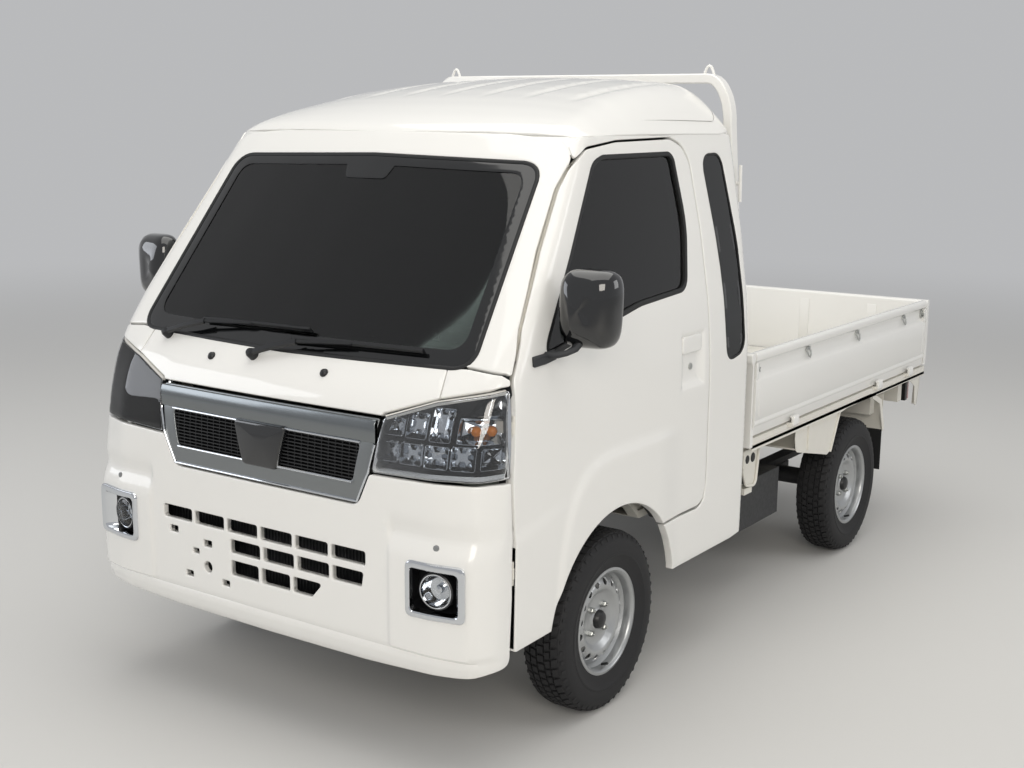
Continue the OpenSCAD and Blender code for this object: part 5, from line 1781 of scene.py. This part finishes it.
def pad_block(shape, rows, corner=0.42, sides=40):
    """A padded block skinned through rows of (centre x, centre u, centre z, half width, half depth, tilt)."""
    rings = []
    for cx, cu, cz, hw, hd, tilt in rows:
        ring = []
        for t in turns(sides):
            c, s = math.cos(t), math.sin(t)
            a = hw * math.copysign(abs(c) ** corner, c)
            b = hd * math.copysign(abs(s) ** corner, s)
            ring.append((cx + a, cu + b * math.cos(tilt), cz + b * math.sin(tilt)))
        rings.append(ring)
    shape.rings(rings)


def plumped(shape, name, cap):
    """Swells a closed form as stuffed fabric does, with every point held within cap millimetres."""
    piece = shape.build(name + "_form", SEAT_CLOTH)
    bpy.context.view_layer.objects.active = piece
    mod = piece.modifiers.new("even", "REMESH")
    mod.mode = "VOXEL"
    mod.voxel_size = 0.007
    even = bpy.data.meshes.new_from_object(piece.evaluated_get(bpy.context.evaluated_depsgraph_get()))
    even.name = name
    bpy.data.objects.remove(piece)
    start = np.zeros(len(even.vertices) * 3)
    even.vertices.foreach_get("co", start)
    start = start.reshape(-1, 3)
    end = start.copy()
    soft = bpy.data.objects.new(name + "_soft", even)
    bpy.context.scene.collection.objects.link(soft)
    cloth = soft.modifiers.new("stuffing", "CLOTH")
    cloth.settings.use_pressure = True
    cloth.settings.uniform_pressure_force = 4
    cloth.settings.effector_weights.gravity = 0
    for frame_number in range(1, 21):
        bpy.context.scene.frame_set(frame_number)
    swollen = soft.evaluated_get(bpy.context.evaluated_depsgraph_get()).to_mesh()
    end = np.zeros(len(even.vertices) * 3)
    swollen.vertices.foreach_get("co", end)
    end = end.reshape(-1, 3)
    bpy.data.objects.remove(soft)
    bpy.context.scene.frame_set(1)
    move = end - start
    far = np.linalg.norm(move, axis=1)
    start += move * np.minimum(1, cap / 1000 / np.maximum(far, 1e-9))[:, None]
    even.vertices.foreach_set("co", start.ravel())
    return even


SEAT_X = 325                           # centre of a seat
SEAT_FOOT = (1352, 912)                # u and z of the back rest's foot
SEAT_RISE = (78, 440)                  # how far the back rest leans back and rises


def seat_pair():
    """Driver's and passenger's seats: stuffed cushion, back and head rest with sewn panels and piping."""
    form = Shape()
    pad_block(form, [(SEAT_X, 1190, z, w, d, 0.06)
                     for z, w, d in ((786, 206, 196), (790, 214, 204), (830, 218, 208),
                                                               (862, 214, 204), (870, 202, 192))])
    lean = math.atan2(95, 470)
    pad_block(form, [(SEAT_X, SEAT_FOOT[0] + k * SEAT_RISE[0], SEAT_FOOT[1] + k * SEAT_RISE[1], w, d, -lean)
                     for k, w, d in (
        (0, 190, 30), (0.03, 204, 36), (0.4, 214, 38), (0.8, 206, 34), (0.97, 186, 29), (1.0, 170, 24))])
    pad_block(form, [(SEAT_X, 1437 + k * 26, 1396 + k * 150, w, d, 0) for k, w, d in (
        (0, 92, 20), (0.08, 104, 26), (0.5, 110, 30), (0.92, 104, 26), (1.0, 90, 20))])
    mesh = plumped(form, "seat_pads", 24)
    points = np.zeros(len(mesh.vertices) * 3)
    mesh.vertices.foreach_get("co", points)
    points = points.reshape(-1, 3)
    x, u, z = points[:, 0] * 1000, points[:, 1] * 1000 - FRONT, points[:, 2] * 1000
    # Sewn channels pull the cover in: two lengthwise and two across each pad.
    pull = np.zeros(len(points))
    for line in (-118, 118):
        pull = np.maximum(pull, np.exp(-((x - SEAT_X - line) / 6) ** 2))
    middle = np.abs(x - SEAT_X) < 118
    cushion = z < 900
    for at in (1090, 1240):
        pull = np.maximum(pull, np.exp(-((u - at) / 6) ** 2) * middle * cushion * (z > 850))
    for at in (1060, 1200):
        pull = np.maximum(pull, np.exp(-((z - at) / 6) ** 2) * middle * ~cushion * (z < 1380))
    pull *= (z < 1385)
    points[:, 2] -= 0.007 * pull * (cushion & (z > 850))
    face = SEAT_FOOT[0] + (z - SEAT_FOOT[1]) / SEAT_RISE[1] * SEAT_RISE[0]
    points[:, 1] += 0.007 * pull * (~cushion & (u < face))
    mesh.vertices.foreach_set("co", points.ravel())
    mesh.materials.clear()
    mesh.materials.append(SEAT_CLOTH)
    mesh.materials.append(SEAT_VINYL)
    centres = np.zeros(len(mesh.polygons) * 3)
    mesh.polygons.foreach_get("center", centres)
    outer = (np.abs(centres.reshape(-1, 3)[:, 0] * 1000 - SEAT_X) > 118).astype(np.int32)
    mesh.polygons.foreach_set("material_index", outer)
    mesh.polygons.foreach_set("use_smooth", np.ones(len(outer), bool))
    # Piping round each pad lies on the swollen surface.
    tree = BVHTree.FromPolygons([tuple(p) for p in points], [tuple(q.vertices) for q in mesh.polygons])
    piping = Shape()
    loops = [[(SEAT_X + 212 * sx, 1190 + 202 * su, 872) for sx, su in CORNER_RING],
             [(SEAT_X + 205 * sx, SEAT_FOOT[0] - 34 + (sz + 1) / 2 * SEAT_RISE[0],
               SEAT_FOOT[1] + (sz + 1) / 2 * SEAT_RISE[1])
              for sx, sz in CORNER_RING],
             [(SEAT_X + 106 * sx, 1437 - 26, 1471 + 72 * sz) for sx, sz in CORNER_RING]]
    for loop in loops:
        path = []
        for p in loop:
            near = tree.find_nearest(Vector((p[0] / 1000, (p[1] + FRONT) / 1000, p[2] / 1000)))[0]
            path.append((near[0] * 1000, near[1] * 1000 - FRONT, near[2] * 1000))
        piping.tube(path, 3, 0, 8, closed=True)
    for x0 in (285, 365):
        piping.tube([(x0, 1446, 1350), (x0, 1450, 1410)], 6, 1, 12)
    base = Shape()
    base.box((112, 1000, 771), (538, 1396, 786), taper=2)
    base.sweep([(536, 1405, 800), (548, 1420, 850), (546, 1440, 900)], flat_bar(14, 10))
    for side in SIDES:
        name = "seat_" + SIDE_NAME[side]
        data = mesh if side > 0 else mesh.copy()
        if side < 0:
            data.transform(Matrix.Scale(-1, 4, (1, 0, 0)))
            data.flip_normals()
        pads = bpy.data.objects.new(name + "_pads", data)
        bpy.context.scene.collection.objects.link(pads)
        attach(pads, "truck")
        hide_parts("seats")
        piping.on_side(side).build(name + "_piping", [SEAT_VINYL, ZINC])
        base.on_side(side).build(name + "_base", BLACK_PLASTIC, bevel=3)


CORNER_RING = [(math.copysign(abs(math.cos(t)) ** 0.4, math.cos(t)),
                math.copysign(abs(math.sin(t)) ** 0.4, math.sin(t)))
               for t in turns(72)]


def nose_inside():
    """What shows through the intake: the black duct and the plate behind it."""
    duct = Shape()
    duct.box((-440, 62, 350), (440, 68, 606))
    duct.box((-440, 28, 604), (440, 68, 608))
    duct.box((-440, 28, 348), (440, 68, 352))
    for x in np.arange(-420, 421, 12):
        duct.box((x - 1, 58, 360), (x + 1, 63, 600))
    duct.build("intake_duct", BLACK_PLASTIC)


SURROUND = "#dfe0e2"
SURROUND_LIGHT = 0.66


def cab_back():
    """The pressed back wall of the cab, up to the roof, with the rear window's opening."""
    def wall(x, z):
        x, z = np.asarray(x, float), np.asarray(z, float)
        bead = ramp(z, 980, 996) * (1 - ramp(z, 1640, 1656)) * (1 - ramp(np.abs(x), 500, 516))
        return np.stack([x, CAB_BACK - 3 + 2.5 * bead, z], -1)
    side = [(float(flank(np.array([CAB_BACK]), np.array([z]))[0, 0]) - 2, z) for z in
            (345, 600, 900, 1100, 1300, 1500, 1640)]
    top = [(x, float(roof_height(np.array([x]), np.array([CAB_BACK - 4.0]))[0]) - 3)
           for x in (610, 520, 380, 200, 0)]
    half = [(*side[0], 30)] + [(*p, 60) for p in side[1:]] + [(*p, 80) for p in top]
    outline = rounded(half + [(-x, z, r) for x, z, r in half[-2::-1]], 14)
    window = rounded([(-446, 1124, 40), (446, 1124, 40), (426, 1546, 40), (-426, 1546, 40)], 14)
    lines = np.array([(x, z) for z in (980, 988, 996, 1640, 1648, 1656) for x in np.arange(-516, 517, 16)]
                     + [(x, z) for x in (-516, -508, -500, 500, 508, 516) for z in np.arange(1000, 1640, 16)])
    skin(wall, outline, [window], 30, 3, 1.4, extra=lines, lip=12).build(
        "cab_back_skin", ENAMEL, slot="white_paint", replaces=["rear_panel"])
    seal = Shape()
    ring = shrunk(window, 3)
    seal.sweep(wall(*ring.T), [(-7, -5), (7, -5), (7, 2), (3, 5), (-3, 5), (-7, 2)], closed=True,
               up=(0, 1, 0.01))
    seal.build("rear_window_seal", SEAL_RUBBER)


def floor():
    """The paper floor, which fades into the surrounding with distance."""
    mesh = bpy.data.meshes.new("studio_floor")
    r = 90
    mesh.from_pydata([(-r, -r, 0), (r, -r, 0), (r, r, 0), (-r, r, 0)], [], [(0, 1, 2, 3)])
    piece = bpy.data.objects.new("studio_floor", mesh)
    bpy.context.scene.collection.objects.link(piece)
    mat = finish("studio_paper", "#cfcecb", 0.9)
    tree = mat.node_tree
    place = add_node(tree, "TexCoord")
    reach = add_node(tree, "VectorMath", {"operation": "LENGTH"}, {0: (place, "Object")})
    far = add_node(tree, "MapRange", {"interpolation_type": "SMOOTHSTEP", "From Min": 3.5, "From Max": 13.0},
                   {"Value": (reach, "Value")})
    haze = add_node(tree, "Emission", {"Color": colour(SURROUND), "Strength": SURROUND_LIGHT})
    mix = add_node(tree, "MixShader", None, {0: (far, "Result"), 1: (tree.nodes["Principled BSDF"], "BSDF"),
                                             2: (haze, "Emission")})
    tree.links.new(mix.outputs["Shader"], tree.nodes["Material Output"].inputs["Surface"])
    mesh.materials.append(mat)


def area_light(name, at, target, size, power, tint="#ffffff"):
    data = bpy.data.lights.new(name, "AREA")
    data.shape = "RECTANGLE"
    data.size, data.size_y = size
    data.energy = power
    data.color = colour(tint)[:3]
    lamp = bpy.data.objects.new(name, data)
    lamp.location = at
    lamp.rotation_euler = (Vector(target) - Vector(at)).to_track_quat("-Z", "Y").to_euler()
    bpy.context.scene.collection.objects.link(lamp)


def studio():
    """A soft overhead light, a wide key from the front left, a fill and a plain grey surrounding."""
    area_light("overhead", (0.3, -0.5, 5.2), (0, 0, 0.9), (5.5, 6.0), 150, "#fffdf8")
    area_light("key", (4.5, -6.5, 3.6), (0, -0.6, 0.8), (4.0, 3.0), 210, "#fff9f0")
    area_light("fill", (-6.0, -5.0, 2.8), (0, -0.3, 0.8), (4.0, 3.0), 90, "#f4f8ff")
    area_light("side", (6.5, 2.5, 3.0), (0.5, 0.4, 0.8), (3.0, 3.0), 60)
    world = bpy.data.worlds.new("surround")
    world.use_nodes = True
    shade = world.node_tree.nodes["Background"]
    shade.inputs["Color"].default_value = colour(SURROUND)
    shade.inputs["Strength"].default_value = SURROUND_LIGHT
    bpy.context.scene.world = world
    bpy.context.scene.view_settings.view_transform = "Standard"


def camera():
    """A 48 mm lens at the front left, a little above eye height of a seated driver."""
    data = bpy.data.cameras.new("camera")
    data.sensor_width = 36
    data.lens = 48.0
    piece = bpy.data.objects.new("camera", data)
    turn, rise, roll = (math.radians(a) for a in (34.74, 10.97, 0.59))
    back = Vector((math.sin(turn) * math.cos(rise), -math.cos(turn) * math.cos(rise), math.sin(rise)))
    right = (-back).cross(Vector((0, 0, 1))).normalized()
    up = right.cross(-back)
    right, up = right * math.cos(roll) + up * math.sin(roll), up * math.cos(roll) - right * math.sin(roll)
    turned = Matrix((right, up, back)).transposed().to_4x4()
    turned.translation = Vector((2.624, -4.269, 1.700))
    piece.matrix_world = turned
    bpy.context.scene.collection.objects.link(piece)
    bpy.context.scene.camera = piece


front_bumper()
front_panels()
windscreen()
pillar_frame()
cab_roof()
cant_rails()
door_skins()
door_windows()
quarter_skins()
cab_back()
headlights()
grille()
fog_lamps()
door_mirrors()
wipers()
wheels()
side_gates()
tail_gate()
bed_deck()
head_board()
guard_rack()
under_bed()
door_linings()
headliner()
dash_board()
wheel_of_steering()
seat_pair()
nose_inside()
coat_carried_parts()
floor()
studio()
camera()
